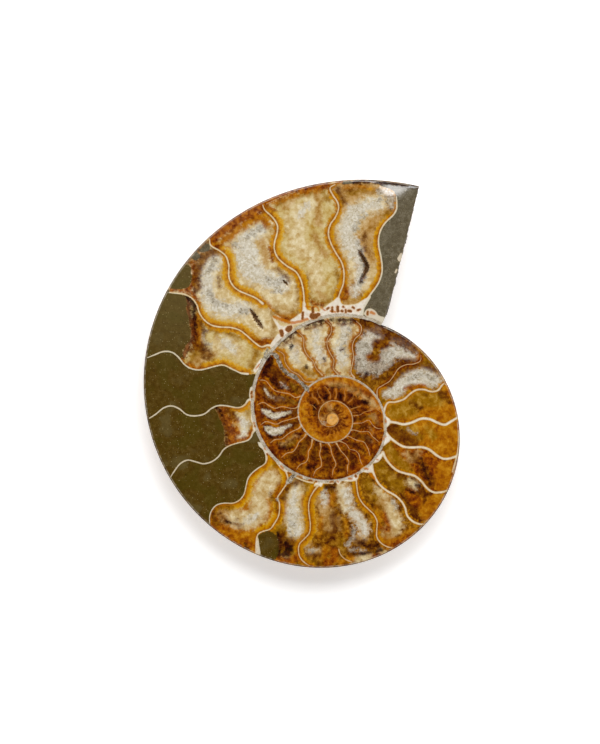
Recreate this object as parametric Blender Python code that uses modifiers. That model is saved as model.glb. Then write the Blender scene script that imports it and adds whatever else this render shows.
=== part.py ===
"""Half of an ammonite, sawn through its flat middle plane and polished, lying on its round back.

The polished face looks up (+Z) and the shell's flank, its ribs and its umbilicus look down.
The whole fossil is one stone, so it is one object. Lengths below are millimetres; the mesh is built
in metres. Angles are degrees, seen from above, and the whorls grow clockwise: an angle counts on
past 360 for each whorl further in, so 70 is at the mouth and 430 is one whorl inside it.
"""
import math
import random

import bmesh
import bpy

MM = 0.001

# The spiral
OUTER_RADIUS = 61.8          # eye to venter at MOUTH_ANGLE
MOUTH_ANGLE = 70.0
GROWTH_PER_TURN = 2.38       # each whorl is this much larger than the one inside it
OVAL_SHIFT = (0.032, 26.0)   # the shell is pressed a little oval: share of the radius, and its angle
OVAL_SQUASH = (0.021, -76.0)
SEAM_SHARE = 0.20            # umbilical seam, as a share of the venter's radius at the same angle
TURNS = 3.0                  # whorls modelled, from the mouth inward
STEPS_PER_TURN = 120

# The flank, from the umbilical seam (0) to the venter (1)
HALF_THICKNESS = 13.0        # polished face to umbilical shoulder
SHOULDER = 0.16
LEVEL_TURNS = 0.62           # the shoulder stays this many turns at full height: the fossil lies on it
THINNING = 0.80              # power of the growth by which older whorls are thinner
FLANK_POWERS = (1.7, 0.72)
WALL_COLUMNS = 4             # from the seam up to the shoulder
INNER_COLUMNS = WALL_COLUMNS + 2     # from the seam to the next whorl's seam
OUTER_COLUMNS = 9            # from there to the venter

# The ribs, bent like sickles
RIBS_PER_TURN = 24
RIB_HEIGHT = 0.32
RIB_SPAN = (0.36, 0.985)
RIB_BEND = 9.0               # degrees that a rib swings back at the venter

# The broken mouth
BREAK_SEAM_ANGLE = 61.9      # where the break crosses the seam
BREAK_LAG = 7.5              # degrees that its venter end lies further back
BREAK_ROUGHNESS = 0.55
BREAK_ROWS = 5
SEED = 4

EDGE_ROUNDING = 0.35         # the polished face's rim

# Open pockets in the polished face: (x, y) along the slit from the eye, half width, depth
POCKETS = {
    "pocket_last_chamber": ([(6.5, 42.0), (8.6, 39.3), (8.7, 37.0), (7.5, 34.8)], 0.75, 2.6),
    "pocket_third_chamber": ([(-12.3, 34.9), (-11.2, 34.0), (-10.7, 33.2)], 0.55, 1.6),
    "pocket_fourth_chamber": ([(-20.6, 27.6), (-19.2, 25.8), (-17.4, 22.9)], 0.65, 2.2),
}
POCKET_RINGS = 9
POCKET_SIDES = 8


def venter_radius(angle):
    """Distance from the spiral's eye to the outer edge of the whorl."""
    grown = OUTER_RADIUS * GROWTH_PER_TURN ** (-(angle - MOUTH_ANGLE) / 360)
    shift, shift_angle = OVAL_SHIFT
    squash, squash_angle = OVAL_SQUASH
    oval = shift * math.cos(math.radians(angle - shift_angle))
    oval += squash * math.cos(math.radians(2 * angle - squash_angle))
    return grown * (1 + oval)


def seam_radius(angle):
    return SEAM_SHARE * venter_radius(angle)


def next_seam_share(angle):
    """How far across this whorl the next one's seam runs over it."""
    inner, outer = seam_radius(angle), venter_radius(angle)
    return (seam_radius(angle - 360) - inner) / (outer - inner)


def shoulder_height(angle):
    """Polished face to umbilical shoulder: level near the mouth, then thinner towards the eye."""
    back = max(0.0, (angle - MOUTH_ANGLE) / 360 - LEVEL_TURNS)
    eased = back * back / (back + 0.1)
    return HALF_THICKNESS * GROWTH_PER_TURN ** (-THINNING * eased)


def rib(angle, across):
    low, high = RIB_SPAN
    place = (across - low) / (high - low)
    if not 0 < place < 1:
        return 0.0
    swing = RIB_BEND * (place * place - 0.35 * math.sin(math.pi * place))
    wave = math.cos(math.radians(RIBS_PER_TURN * (angle - swing)))
    strength = min(1.0, shoulder_height(angle) / HALF_THICKNESS)
    return RIB_HEIGHT * strength * math.sin(math.pi * place) ** 0.7 * wave


def flank_height(angle, across):
    """Depth of the shell's outside below the polished face."""
    top = shoulder_height(angle)
    if across < SHOULDER:
        round_off = math.sqrt(max(0.0, 1 - (1 - across / SHOULDER) ** 2))
        base = seam_height(angle)
        return base + (top - base) * round_off
    outward = (across - SHOULDER) / (1 - SHOULDER)
    fall, soften = FLANK_POWERS
    return top * max(0.0, 1 - outward ** fall) ** soften + rib(angle, across)


def seam_height(angle):
    """The height at which a whorl meets the one inside it."""
    inner = angle + 360
    if inner > MOUTH_ANGLE + 360 * (TURNS + 1):
        return 0.25 * shoulder_height(angle)
    return flank_height(inner, next_seam_share(inner))


def flank_point(angle, across, rounding=0.0):
    """A point of the shell's outside. Z is measured up from the shoulder that the fossil lies on."""
    inner, outer = seam_radius(angle), venter_radius(angle)
    radius = inner + (outer - inner) * across - rounding
    x = radius * math.cos(math.radians(angle))
    y = radius * math.sin(math.radians(angle))
    return x, y, HALF_THICKNESS - flank_height(angle, across)


def columns_of(angle):
    """Shares across the whorl: close together on the round shoulder and at the venter."""
    split = next_seam_share(angle)
    wall = [SHOULDER * (1 - math.cos(0.5 * math.pi * step / WALL_COLUMNS)) for step in range(WALL_COLUMNS)]
    inner = wall + [SHOULDER, (SHOULDER + split) / 2]
    outer = []
    for step in range(OUTER_COLUMNS + 1):
        eased = math.sin(0.5 * math.pi * step / OUTER_COLUMNS) ** 1.15
        outer.append(split + (1 - split) * eased)
    return inner + outer


def build_flank(mesh):
    """The spiral grid of the shell's outside. Returns its rows, from the mouth inward."""
    last_row = int(TURNS * STEPS_PER_TURN)
    rows = {}
    for row in range(last_row, -1, -1):
        seam_angle = BREAK_SEAM_ANGLE + 360 * row / STEPS_PER_TURN
        columns = columns_of(seam_angle)
        lag = BREAK_LAG * max(0.0, 1 - row / STEPS_PER_TURN)
        if row > STEPS_PER_TURN:
            columns = columns[: INNER_COLUMNS + 1]
        points = []
        for across in columns:
            beyond = max(0.0, (across - columns[INNER_COLUMNS]) / (1 - columns[INNER_COLUMNS]))
            angle = seam_angle + lag * beyond
            points.append([MM * part for part in flank_point(angle, across)])
        rows[row] = [mesh.verts.new(point) for point in points]
        within = rows.get(row + STEPS_PER_TURN)
        if within:
            mesh.verts.remove(rows[row][0])
            rows[row][0] = within[INNER_COLUMNS]
    for row in range(last_row):
        here, further = rows[row], rows[row + 1]
        for column in range(min(len(here), len(further)) - 1):
            mesh.faces.new((here[column], here[column + 1], further[column + 1], further[column]))
    return rows


def close_eye(mesh, rows):
    """The plug of the innermost whorl, smaller than a grain of rice."""
    last_row = int(TURNS * STEPS_PER_TURN)
    ring = [rows[row][0] for row in range(last_row - STEPS_PER_TURN, last_row + 1)]
    ring += rows[last_row][1:INNER_COLUMNS]
    mesh.faces.new(ring)


def build_break(mesh, rows):
    """The rough broken mouth, lofted from the whorl's own section to the flank and the face behind it.

    Returns the break's edge in the polished face, from the older whorl out to the tip."""
    section = rows[0]
    behind = rows[STEPS_PER_TURN][INNER_COLUMNS:]
    corner, tip = behind[-1].co, section[-1].co
    face_steps = len(section) - len(behind)
    chips = random.Random(SEED)
    across_break = (tip - corner).cross((0, 0, 1)).normalized()
    edge = []
    for step in range(1, face_steps):
        place = corner.lerp(tip, step / face_steps)
        place += across_break * MM * chips.uniform(-0.25, 0.25)
        edge.append(mesh.verts.new(place))
    base = behind + edge + [section[-1]]
    bands = [section]
    for row in range(1, BREAK_ROWS):
        share = row / BREAK_ROWS
        band = [section[0]]
        for low, high in list(zip(section, base))[1:-1]:
            place = low.co.lerp(high.co, share)
            relief = min(1.0, (high.co - low.co).length / (4 * MM))
            place += across_break * MM * BREAK_ROUGHNESS * relief * chips.uniform(-1, 1)
            band.append(mesh.verts.new(place))
        bands.append(band + [section[-1]])
    bands.append(base)
    for low, high in zip(bands, bands[1:]):
        for column in range(len(section) - 1):
            corners = [low[column], high[column], high[column + 1], low[column + 1]]
            mesh.faces.new(list(dict.fromkeys(corners)))
    return base[len(behind) - 1:]


def build_face(mesh, rows, break_edge):
    """The flat polished face, inside the venter of the last whorl and the break."""
    rim = [rows[row][-1] for row in range(STEPS_PER_TURN + 1)]
    mesh.faces.new(rim + break_edge[1:-1])


def new_object(name, mesh, material, collection):
    data = bpy.data.meshes.new(name)
    mesh.to_mesh(data)
    mesh.free()
    data.materials.append(material)
    thing = bpy.data.objects.new(name, data)
    collection.objects.link(thing)
    return thing


def stone_material(name, colour, roughness):
    material = bpy.data.materials.new(name)
    material.use_nodes = True
    shader = material.node_tree.nodes["Principled BSDF"]
    shader.inputs["Base Color"].default_value = (*colour, 1)
    shader.inputs["Roughness"].default_value = roughness
    shader.inputs["Metallic"].default_value = 0.0
    return material


def along(path, share):
    """The point at that share of a path's control points."""
    place = share * (len(path) - 1)
    start = min(int(place), len(path) - 2)
    rest = place - start
    return [a + (b - a) * rest for a, b in zip(path[start], path[start + 1])]


def build_pocket(path, half_width, depth):
    """A closed slit with pointed ends, wider at its middle, which reaches above the face to cut it."""
    mesh = bmesh.new()
    bmesh.ops.create_cone(
        mesh, cap_ends=True, segments=POCKET_SIDES, radius1=1, radius2=1, depth=2
    )
    bmesh.ops.subdivide_edges(
        mesh,
        edges=[edge for edge in mesh.edges if abs(edge.verts[0].co.z - edge.verts[1].co.z) > 1],
        cuts=POCKET_RINGS,
    )
    start, end = path[0], path[-1]
    length = math.dist(start, end)
    side = (-(end[1] - start[1]) / length, (end[0] - start[0]) / length)
    ridges = random.Random(SEED)
    for vertex in mesh.verts:
        share = (vertex.co.z + 1) / 2
        swell = max(0.22, math.sin(math.pi * share) ** 0.7)
        jag = 1 + ridges.uniform(-0.18, 0.18)
        middle = along(path, share)
        out = vertex.co.x * half_width * swell * jag
        down = vertex.co.y * depth * swell * jag
        vertex.co = (
            MM * (middle[0] + side[0] * out),
            MM * (middle[1] + side[1] * out),
            MM * (HALF_THICKNESS + down),
        )
    if mesh.calc_volume(signed=True) < 0:
        bmesh.ops.reverse_faces(mesh, faces=mesh.faces)
    return mesh


def centre_over_origin(mesh):
    """Stands the fossil's lowest point at z = 0 with its footprint centred. Returns the move."""
    xs, ys, zs = zip(*(vertex.co for vertex in mesh.verts))
    move = (-(min(xs) + max(xs)) / 2, -(min(ys) + max(ys)) / 2, -min(zs))
    bmesh.ops.translate(mesh, verts=mesh.verts, vec=move)
    return move


def build_ammonite(collection):
    mesh = bmesh.new()
    rows = build_flank(mesh)
    close_eye(mesh, rows)
    build_face(mesh, rows, build_break(mesh, rows))
    bmesh.ops.recalc_face_normals(mesh, faces=mesh.faces)
    move = centre_over_origin(mesh)
    material = stone_material("polished_ammonite", (0.42, 0.24, 0.08), 0.15)
    fossil = new_object("ammonite", mesh, material, collection)
    fossil.data.shade_smooth()
    fossil.data.set_sharp_from_angle(angle=math.radians(40))
    return fossil, move


def cut_pockets(fossil, move, collection):
    """Each pocket is a cutter that a Boolean takes out of the polished face."""
    lining = stone_material("pocket_lining", (0.35, 0.22, 0.10), 0.4)
    for name, (path, half_width, depth) in POCKETS.items():
        cutter = new_object(name, build_pocket(path, half_width, depth), lining, collection)
        cutter.location = move
        cutter.hide_render = True
        cutter.display_type = "WIRE"
        cut = fossil.modifiers.new(name, "BOOLEAN")
        cut.operation = "DIFFERENCE"
        cut.object = cutter
        cut.solver = "EXACT"


def ease_rim(fossil):
    """The polisher leaves the face's sharp rim slightly rounded."""
    bevel = fossil.modifiers.new("rim", "BEVEL")
    bevel.width = EDGE_ROUNDING * MM
    bevel.segments = 2
    bevel.limit_method = "ANGLE"
    bevel.angle_limit = math.radians(55)
    bevel.use_clamp_overlap = True


def main():
    for thing in list(bpy.data.objects):
        bpy.data.objects.remove(thing)
    parts = bpy.data.collections.new("ammonite_half")
    cutters = bpy.data.collections.new("cutters")
    bpy.context.scene.collection.children.link(parts)
    bpy.context.scene.collection.children.link(cutters)
    fossil, move = build_ammonite(parts)
    ease_rim(fossil)
    cut_pockets(fossil, move, cutters)


main()
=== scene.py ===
import math
import random

import bmesh
import bpy
import numpy as np
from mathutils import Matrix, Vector, noise
from mathutils.geometry import delaunay_2d_cdt


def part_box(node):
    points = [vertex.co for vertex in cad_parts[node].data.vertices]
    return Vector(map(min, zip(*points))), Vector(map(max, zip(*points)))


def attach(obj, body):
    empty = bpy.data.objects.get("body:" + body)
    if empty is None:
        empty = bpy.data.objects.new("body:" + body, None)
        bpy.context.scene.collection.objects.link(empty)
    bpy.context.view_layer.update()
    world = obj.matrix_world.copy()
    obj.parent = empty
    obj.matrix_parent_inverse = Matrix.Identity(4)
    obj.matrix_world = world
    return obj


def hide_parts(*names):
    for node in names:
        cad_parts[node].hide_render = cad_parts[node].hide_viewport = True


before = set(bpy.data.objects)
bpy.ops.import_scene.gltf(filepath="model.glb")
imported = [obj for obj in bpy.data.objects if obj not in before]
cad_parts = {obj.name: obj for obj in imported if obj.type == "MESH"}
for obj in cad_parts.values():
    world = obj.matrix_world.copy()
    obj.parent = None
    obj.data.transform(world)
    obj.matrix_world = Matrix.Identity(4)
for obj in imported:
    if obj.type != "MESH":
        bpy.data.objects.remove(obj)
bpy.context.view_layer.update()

mm = 0.001
print("frame loaded")

# The coiled shell. Angles are degrees seen from the polished side, and they count on past 360 for
# each whorl further in. Lengths are mm.
shell = {
    "mouthRadius": 61.8,        # from the eye to the venter at mouthAngle
    "mouthAngle": 70.0,
    "growthPerTurn": 2.38,
    "ovalShift": (0.032, 26.0),         # share of the radius, and its angle
    "ovalSquash": (0.021, -76.0),
    "unevenAngles": (422, 427, 434, 442, 451, 459, 469, 480, 490,    # where the coiling isn't even,
                     900, 990, 1080, 1170, 1260, 1350, 1440),        # and by what share
    "unevenShares": (1.0, 1.014, 1.02, 1.027, 1.028, 1.024, 1.017, 1.005, 1.0,
                     1.0, 0.91, 0.93, 1.0, 0.92, 0.72, 0.70),
    "seamShare": 0.20,          # where one whorl meets the next, as a share of its radius
    "turns": 3,
    "halfThickness": 13.0,
    "shoulder": 0.16,
    "levelTurns": 0.62,         # the shoulder keeps its full height for this many turns
    "levelEase": 0.1,
    "thinning": 0.80,
    "flankFall": 1.7,
    "flankSoften": 0.72,
    "outerFullness": 1.15,
    "ribsPerTurn": 24,
    "ribHeight": 0.32,
    "ribFrom": 0.36,
    "ribTo": 0.985,
    "ribBend": 9.0,             # degrees that a rib swings back at the venter
    "ribCurl": 0.35,
    "ribSoften": 0.7,
    "breakAngle": 61.9,         # the broken mouth at the seam
    "breakLag": 7.5,            # its outer end lies this much further back
    "breakHollow": 0.8,         # how far the middle of the broken section stands back
    "rimDepth": 0.42,           # below the polished face, where the flank gives way to the rim
    "rowsPerTurn": 240,
    "innerColumns": 14,
    "outerColumns": 22,
}


def wallRadius(angle):
    angle = np.asarray(angle, float)
    turns = (angle - shell["mouthAngle"]) / 360
    shift, shiftAngle = shell["ovalShift"]
    squash, squashAngle = shell["ovalSquash"]
    oval = shift * np.cos(np.radians(angle - shiftAngle))
    oval += squash * np.cos(np.radians(2 * angle - squashAngle))
    tightness = np.interp(angle, shell["unevenAngles"], shell["unevenShares"])
    return shell["mouthRadius"] * shell["growthPerTurn"] ** -turns * (1 + oval) * tightness


def wallPoint(angle):
    radius = wallRadius(angle)
    return np.stack([radius * np.cos(np.radians(angle)), radius * np.sin(np.radians(angle))], -1)


def spiralAngle(points):    # a point's own angle, counted on by the whorl that it lies in
    angle = np.degrees(np.arctan2(points[:, 1], points[:, 0])) % 360
    radius = np.hypot(points[:, 0], points[:, 1])
    for turn in range(6):
        angle = np.where(wallRadius(angle + 360) >= radius, angle + 360, angle)
    return angle


def placeOfEye():    # the spiral's eye stands where the fossil's own box says
    low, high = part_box("ammonite")
    rim = wallPoint(np.linspace(shell["breakAngle"] + shell["breakLag"], shell["breakAngle"] + 360, 800))
    middle = (rim.min(0) + rim.max(0)) / 2 * mm
    return Vector(((low.x + high.x) / 2 - middle[0], (low.y + high.y) / 2 - middle[1], high.z))


eye = placeOfEye()


class Number:    # a number that a node tree works out for every point

    def __init__(self, tree, source):
        self.tree = tree
        self.source = source

    def math(self, operation, *others):
        node = self.tree.nodes.new("ShaderNodeMath")
        node.operation = operation
        for place, value in enumerate((self, *others)):
            feed(self.tree, value, node.inputs[place])
        return Number(self.tree, node.outputs[0])

    def __add__(self, other):
        return self.math("ADD", other)

    def __mul__(self, other):
        return self.math("MULTIPLY", other)

    def __sub__(self, other):
        return self.math("SUBTRACT", other)

    def __truediv__(self, other):
        return self.math("DIVIDE", other)

    def __pow__(self, other):
        return self.math("POWER", other)

    def __rsub__(self, other):
        return (self * -1.0) + other

    __radd__ = __add__
    __rmul__ = __mul__

    def cosine(self):    # of an angle in degrees
        return (self * math.radians(1)).math("COSINE")

    def sine(self):
        return (self * math.radians(1)).math("SINE")

    def atLeast(self, other):
        return self.math("MAXIMUM", other)

    def atMost(self, other):
        return self.math("MINIMUM", other)

    def between(self, low, high):    # 1 inside the range
        return self.math("GREATER_THAN", low) * self.math("LESS_THAN", high)


def feed(tree, value, socket):
    if isinstance(value, Number):
        value = value.source
    if isinstance(value, bpy.types.NodeSocket):
        tree.links.new(value, socket)
    else:
        socket.default_value = value


def nodeIn(tree, kind, *values, **settings):
    node = tree.nodes.new(kind)
    for name, value in settings.items():
        setattr(node, name, value)
    for place, value in enumerate(values):
        if value is not None:
            feed(tree, value, node.inputs[place])
    return node


def newTree(name, kind, inputs, outputs):
    tree = bpy.data.node_groups.new(name, kind)
    for label, socketKind, value in inputs:
        socket = tree.interface.new_socket(label, in_out="INPUT", socket_type=socketKind)
        if value is not None:
            socket.default_value = value
    for label, socketKind in outputs:
        tree.interface.new_socket(label, in_out="OUTPUT", socket_type=socketKind)
    return tree, tree.nodes.new("NodeGroupInput"), tree.nodes.new("NodeGroupOutput")


def treeWallRadius(angle, sizes):
    turns = (angle - shell["mouthAngle"]) * (-1 / 360)
    shift, shiftAngle = shell["ovalShift"]
    squash, squashAngle = shell["ovalSquash"]
    oval = (angle - shiftAngle).cosine() * shift + (angle * 2.0 - squashAngle).cosine() * squash
    return sizes["Mouth Radius"] * (sizes["Growth per Turn"] ** turns) * (oval + 1.0)


def treeShoulder(angle, sizes):
    back = ((angle - shell["mouthAngle"]) * (1 / 360) - shell["levelTurns"]).atLeast(0.0)
    eased = back * back / (back + shell["levelEase"])
    return sizes["Half Thickness"] * (sizes["Growth per Turn"] ** (eased * -shell["thinning"]))


def treeRib(angle, across, sizes):
    place = (across - shell["ribFrom"]) * (1 / (shell["ribTo"] - shell["ribFrom"]))
    inside = place.between(0.0, 1.0)
    hump = (place * 180.0).sine().atLeast(0.0)
    swing = (place * place - hump * shell["ribCurl"]) * sizes["Rib Bend"]
    wave = ((angle - swing) * sizes["Ribs per Turn"]).cosine()
    strength = (treeShoulder(angle, sizes) / sizes["Half Thickness"]).atMost(1.0)
    return inside * sizes["Rib Height"] * strength * (hump ** shell["ribSoften"]) * wave


def treeFlankDepth(angle, across, sizes):
    outward = ((across - shell["shoulder"]) * (1 / (1 - shell["shoulder"]))).atLeast(0.0)
    fall = (1.0 - outward ** shell["flankFall"]).atLeast(0.0)
    return treeShoulder(angle, sizes) * (fall ** shell["flankSoften"]) + treeRib(angle, across, sizes)


def treeNextSeam(angle, sizes):    # how far across a whorl the next one's seam runs over it
    inner = treeWallRadius(angle, sizes) * shell["seamShare"]
    outer = treeWallRadius(angle, sizes)
    return (treeWallRadius(angle - 360.0, sizes) * shell["seamShare"] - inner) / (outer - inner)


def treeShares(angle, across, innerShare, sizes):    # its place across, and how far past the seam
    seam = treeNextSeam(angle, sizes)
    rimFall = (treeShoulder(angle, sizes) ** -1.0) * shell["rimDepth"]
    rimOutward = (1.0 - rimFall ** (1 / shell["flankSoften"])) ** (1 / shell["flankFall"])
    widest = rimOutward * (1 - shell["shoulder"]) + shell["shoulder"]
    inward = (across / innerShare).atMost(1.0)
    beyond = ((across - innerShare) / (1.0 - innerShare).atLeast(0.001)).atLeast(0.0)
    outer = (beyond * 90.0).sine() ** shell["outerFullness"]
    return seam * (1.0 - (inward * 90.0).cosine()) + (widest - seam) * outer, outer


def treeDepth(angle, turned, share, sizes):    # below the face: the umbilical wall, then the flank
    within = angle + 360.0
    seamDepth = treeFlankDepth(within, treeNextSeam(within, sizes), sizes)
    roundOff = (1.0 - (1.0 - share * (1 / shell["shoulder"])) ** 2.0).atLeast(0.0) ** 0.5
    shoulderDepth = seamDepth + (treeShoulder(turned, sizes) - seamDepth) * roundOff
    onShoulder = share.math("LESS_THAN", shell["shoulder"])
    flank = treeFlankDepth(turned, share, sizes)
    return flank + (shoulderDepth - flank) * onShoulder


def buildWhorlTree():
    sizes = [
        ("Mouth Radius", "NodeSocketFloat", shell["mouthRadius"]),
        ("Growth per Turn", "NodeSocketFloat", shell["growthPerTurn"]),
        ("Half Thickness", "NodeSocketFloat", shell["halfThickness"]),
        ("Rib Height", "NodeSocketFloat", shell["ribHeight"]),
        ("Ribs per Turn", "NodeSocketFloat", float(shell["ribsPerTurn"])),
        ("Rib Bend", "NodeSocketFloat", shell["ribBend"]),
    ]
    place = [("First Angle", "NodeSocketFloat", 0.0), ("Turns", "NodeSocketInt", 1),
             ("Columns", "NodeSocketInt", 20), ("Inner Share", "NodeSocketFloat", 1.0)]
    tree, entry, leave = newTree(
        "whorl surface", "GeometryNodeTree", place + sizes, [("Mesh", "NodeSocketGeometry")])
    given = {label: Number(tree, entry.outputs[label]) for label, _, _ in place + sizes}
    rows = given["Turns"] * float(shell["rowsPerTurn"]) + 1.0
    grid = nodeIn(tree, "GeometryNodeMeshGrid", 1.0, 1.0, rows, given["Columns"] + 1.0)
    split = nodeIn(tree, "ShaderNodeSeparateXYZ", nodeIn(tree, "GeometryNodeInputPosition").outputs[0])
    along = Number(tree, split.outputs[0]) + 0.5
    across = Number(tree, split.outputs[1]) + 0.5
    angle = given["First Angle"] + along * given["Turns"] * 360.0
    share, outer = treeShares(angle, across, given["Inner Share"], given)
    lag = (1.0 - (angle - shell["breakAngle"]) * (1 / 360)).atLeast(0.0) * shell["breakLag"]
    turned = angle + lag * (outer + outer * (1.0 - outer) * shell["breakHollow"])
    wall = treeWallRadius(turned, given)
    radius = wall * shell["seamShare"] + wall * (1 - shell["seamShare"]) * share
    depth = treeDepth(angle, turned, share, given)
    spot = nodeIn(tree, "ShaderNodeCombineXYZ", radius * turned.cosine() * mm,
                  radius * turned.sine() * mm, depth * -mm)
    move = nodeIn(tree, "GeometryNodeSetPosition", grid.outputs["Mesh"], None, spot.outputs[0])
    tree.links.new(move.outputs[0], leave.inputs[0])
    return tree, sizes


def buildFlankTree():
    whorl, sizes = buildWhorlTree()
    tree, entry, leave = newTree(
        "ammonite flank", "GeometryNodeTree",
        sizes + [("Eye", "NodeSocketVector", tuple(eye)), ("Material", "NodeSocketMaterial", None)],
        [("Mesh", "NodeSocketGeometry")])
    innerColumns = shell["innerColumns"]
    columns = innerColumns + shell["outerColumns"]
    whorls = [(shell["breakAngle"], 1, columns, innerColumns / columns),
              (shell["breakAngle"] + 360, shell["turns"] - 1, innerColumns, 1.0)]
    join = tree.nodes.new("GeometryNodeJoinGeometry")
    for values in reversed(whorls):
        surface = nodeIn(tree, "GeometryNodeGroup", node_tree=whorl)
        for label, value in zip(("First Angle", "Turns", "Columns", "Inner Share"), values):
            surface.inputs[label].default_value = value
        for label, _, _ in sizes:
            tree.links.new(entry.outputs[label], surface.inputs[label])
        tree.links.new(surface.outputs[0], join.inputs[0])
    place = nodeIn(tree, "GeometryNodeTransform", join.outputs[0])
    tree.links.new(entry.outputs["Eye"], place.inputs["Translation"])
    solid = nodeIn(tree, "GeometryNodeRealizeInstances", place.outputs[0])
    finish = nodeIn(tree, "GeometryNodeSetMaterial", solid.outputs[0])
    tree.links.new(entry.outputs["Material"], finish.inputs["Material"])
    tree.links.new(finish.outputs[0], leave.inputs[0])
    return tree


def plainMesh(thing):
    evaluated = thing.evaluated_get(bpy.context.evaluated_depsgraph_get())
    return bpy.data.meshes.new_from_object(evaluated)


def pointsOf(mesh):
    spots = np.empty(len(mesh.vertices) * 3)
    mesh.vertices.foreach_get("co", spots)
    return (spots.reshape(-1, 3) - np.array(eye)) / mm


def cornersOf(mesh):
    corners = np.empty(len(mesh.loops), int)
    mesh.loops.foreach_get("vertex_index", corners)
    return corners


def buildFlank(material):    # its points in mm from the eye, and its four-sided faces
    thing = bpy.data.objects.new("flank", bpy.data.meshes.new("flank"))
    bpy.context.scene.collection.objects.link(thing)
    modifier = thing.modifiers.new("flank", "NODES")
    tree = buildFlankTree()
    modifier.node_group = tree
    sockets = {item.name: item.identifier for item in tree.interface.items_tree if item.in_out == "INPUT"}
    modifier[sockets["Material"]] = material
    mesh = plainMesh(thing)
    thing.modifiers.remove(modifier)
    bpy.data.objects.remove(thing)
    spots, corners = pointsOf(mesh), cornersOf(mesh)
    bpy.data.meshes.remove(mesh)
    print("flank:", len(spots), "points")
    return spots, corners.reshape(-1, 4)


# The polished face with its rim, pits and broken edge. Lengths are mm.
face = {
    "spacing": 0.305,           # between points of the face
    "wallSpacing": 0.2,         # closer along the umbilical wall, where the small cells are,
    "wallReach": 1.3,           # up to this far from it,
    "wallPoints": 260,          # for this many of the wall's own points
    "lineSpacing": 0.3,
    "lineGap": 0.12,            # no loose point stands closer to a drawn line than this
    "rimRows": [(0.03, 0.57), (0.11, 0.26), (0.26, 0.07), (0.45, 0.0)],   # inset, share of the depth
    "breakRimShare": 0.45,      # the rim is narrower along the break
    "breakRimDepth": 0.16,
    "breakStep": 0.4,
    "chipSize": 0.09,
    "chipSeed": 11,
    "rollOffAngle": 75.4,       # the buffing wheel has rounded the rim here
    "rollOffSpread": 3.4,
    "rollOffWidth": 8.0,
    "rollOffDepth": 0.8,
}

fracture = {    # the broken end
    "spacing": 0.55,
    "roughness": 0.5,
    "smoothEdge": 3.0,          # the roughness fades out this close to the edge
    "lumpsPerMm": 0.35,
    "grainPerMm": 1.4,
}

pitShape = {
    "spacing": 0.13,
    "gap": 0.05,
    "step": 0.16,
    "swell": 0.6,
    "teeth": (0.55, 1.25),      # share of the half width where a crystal's point stands in or out
    "gums": (0.8, 1.1),
    "seed": 5,
    "crystalsPerMm": 4.2,
    "slope": 0.7,               # the wall's run, as a share of the half width
}

# The broken edge of the mouth, from the older whorl out to the tip, from the eye
breakEdge = [(12.8, 23.9), (13.6, 25.6), (14.3, 28.5), (15.3, 31.8), (16.4, 36), (17, 38.3), (17.7, 41),
             (18.9, 46), (20.3, 51.5), (20.9, 54), (21.6, 56.5), (21.9, 58.2)]

# Open slits between the crystals: half width, depth, and the line they follow
pits = [
    (0.75, 2.4, [(6.3, 42.4), (7.2, 41.2), (8, 39.8), (8.6, 38.8), (8.8, 37.9), (8.5, 36.8), (8, 35.6),
                 (7.4, 34.6)]),
    (0.42, 1.3, [(-12.5, 34.6), (-11.8, 34.2), (-11.2, 33.6), (-10.8, 33)]),
    (0.9, 2, [(-20.8, 27.7), (-19.9, 26.6), (-19.2, 25.5), (-18.5, 24.3), (-17.8, 23.2), (-16.9, 22)]),
]


def smoothRoute(points, step):    # a Catmull-Rom curve through the points, cut to even steps
    points = np.array(points, float)
    ends = np.vstack([2 * points[0] - points[1], points, 2 * points[-1] - points[-2]])
    curve = []
    for start in range(len(points) - 1):
        before, here, there, after = ends[start: start + 4]
        for t in np.linspace(0, 1, 16, endpoint=False):
            curve.append(0.5 * (2 * here + (there - before) * t
                                + (2 * before - 5 * here + 4 * there - after) * t * t
                                + (3 * here - before - 3 * there + after) * t ** 3))
    curve = np.array(curve + [points[-1]])
    walked = np.concatenate([[0], np.cumsum(np.hypot(*np.diff(curve, axis=0).T))])
    marks = np.linspace(0, walked[-1], max(2, round(walked[-1] / step) + 1))
    return np.stack([np.interp(marks, walked, curve[:, 0]), np.interp(marks, walked, curve[:, 1])], -1)


def measure(points, route):    # distance to the route, side of it (1 is left) and place along it
    best = np.full(len(points), 1e9)
    side = np.zeros(len(points))
    place = np.zeros(len(points))
    walked = 0.0
    for start, end in zip(route[:-1], route[1:]):
        step = end - start
        length = math.hypot(*step)
        if not length:
            continue
        offset = points - start
        share = np.clip(offset @ step / length ** 2, 0, 1)
        away = np.hypot(*(offset - share[:, None] * step).T)
        nearer = away < best - 1e-9
        best[nearer] = away[nearer]
        side[nearer] = np.sign(step[0] * offset[nearer, 1] - step[1] * offset[nearer, 0])
        place[nearer] = walked + share[nearer] * length
        walked += length
    return best, side, place / walked


def closed(loop):
    return np.vstack([loop, loop[:1]])


def nearBox(points, low, high):    # which points lie inside a box
    return np.all((points > low) & (points < high), axis=1)


def inside(points, outline):    # even-odd test
    hits = np.zeros(len(points), bool)
    for start, end in zip(outline, np.roll(outline, -1, axis=0)):
        if start[1] == end[1]:
            continue
        spans = (start[1] > points[:, 1]) != (end[1] > points[:, 1])
        crossing = start[0] + (points[:, 1] - start[1]) / (end[1] - start[1]) * (end[0] - start[0])
        hits ^= spans & (points[:, 0] < crossing)
    return hits


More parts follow.
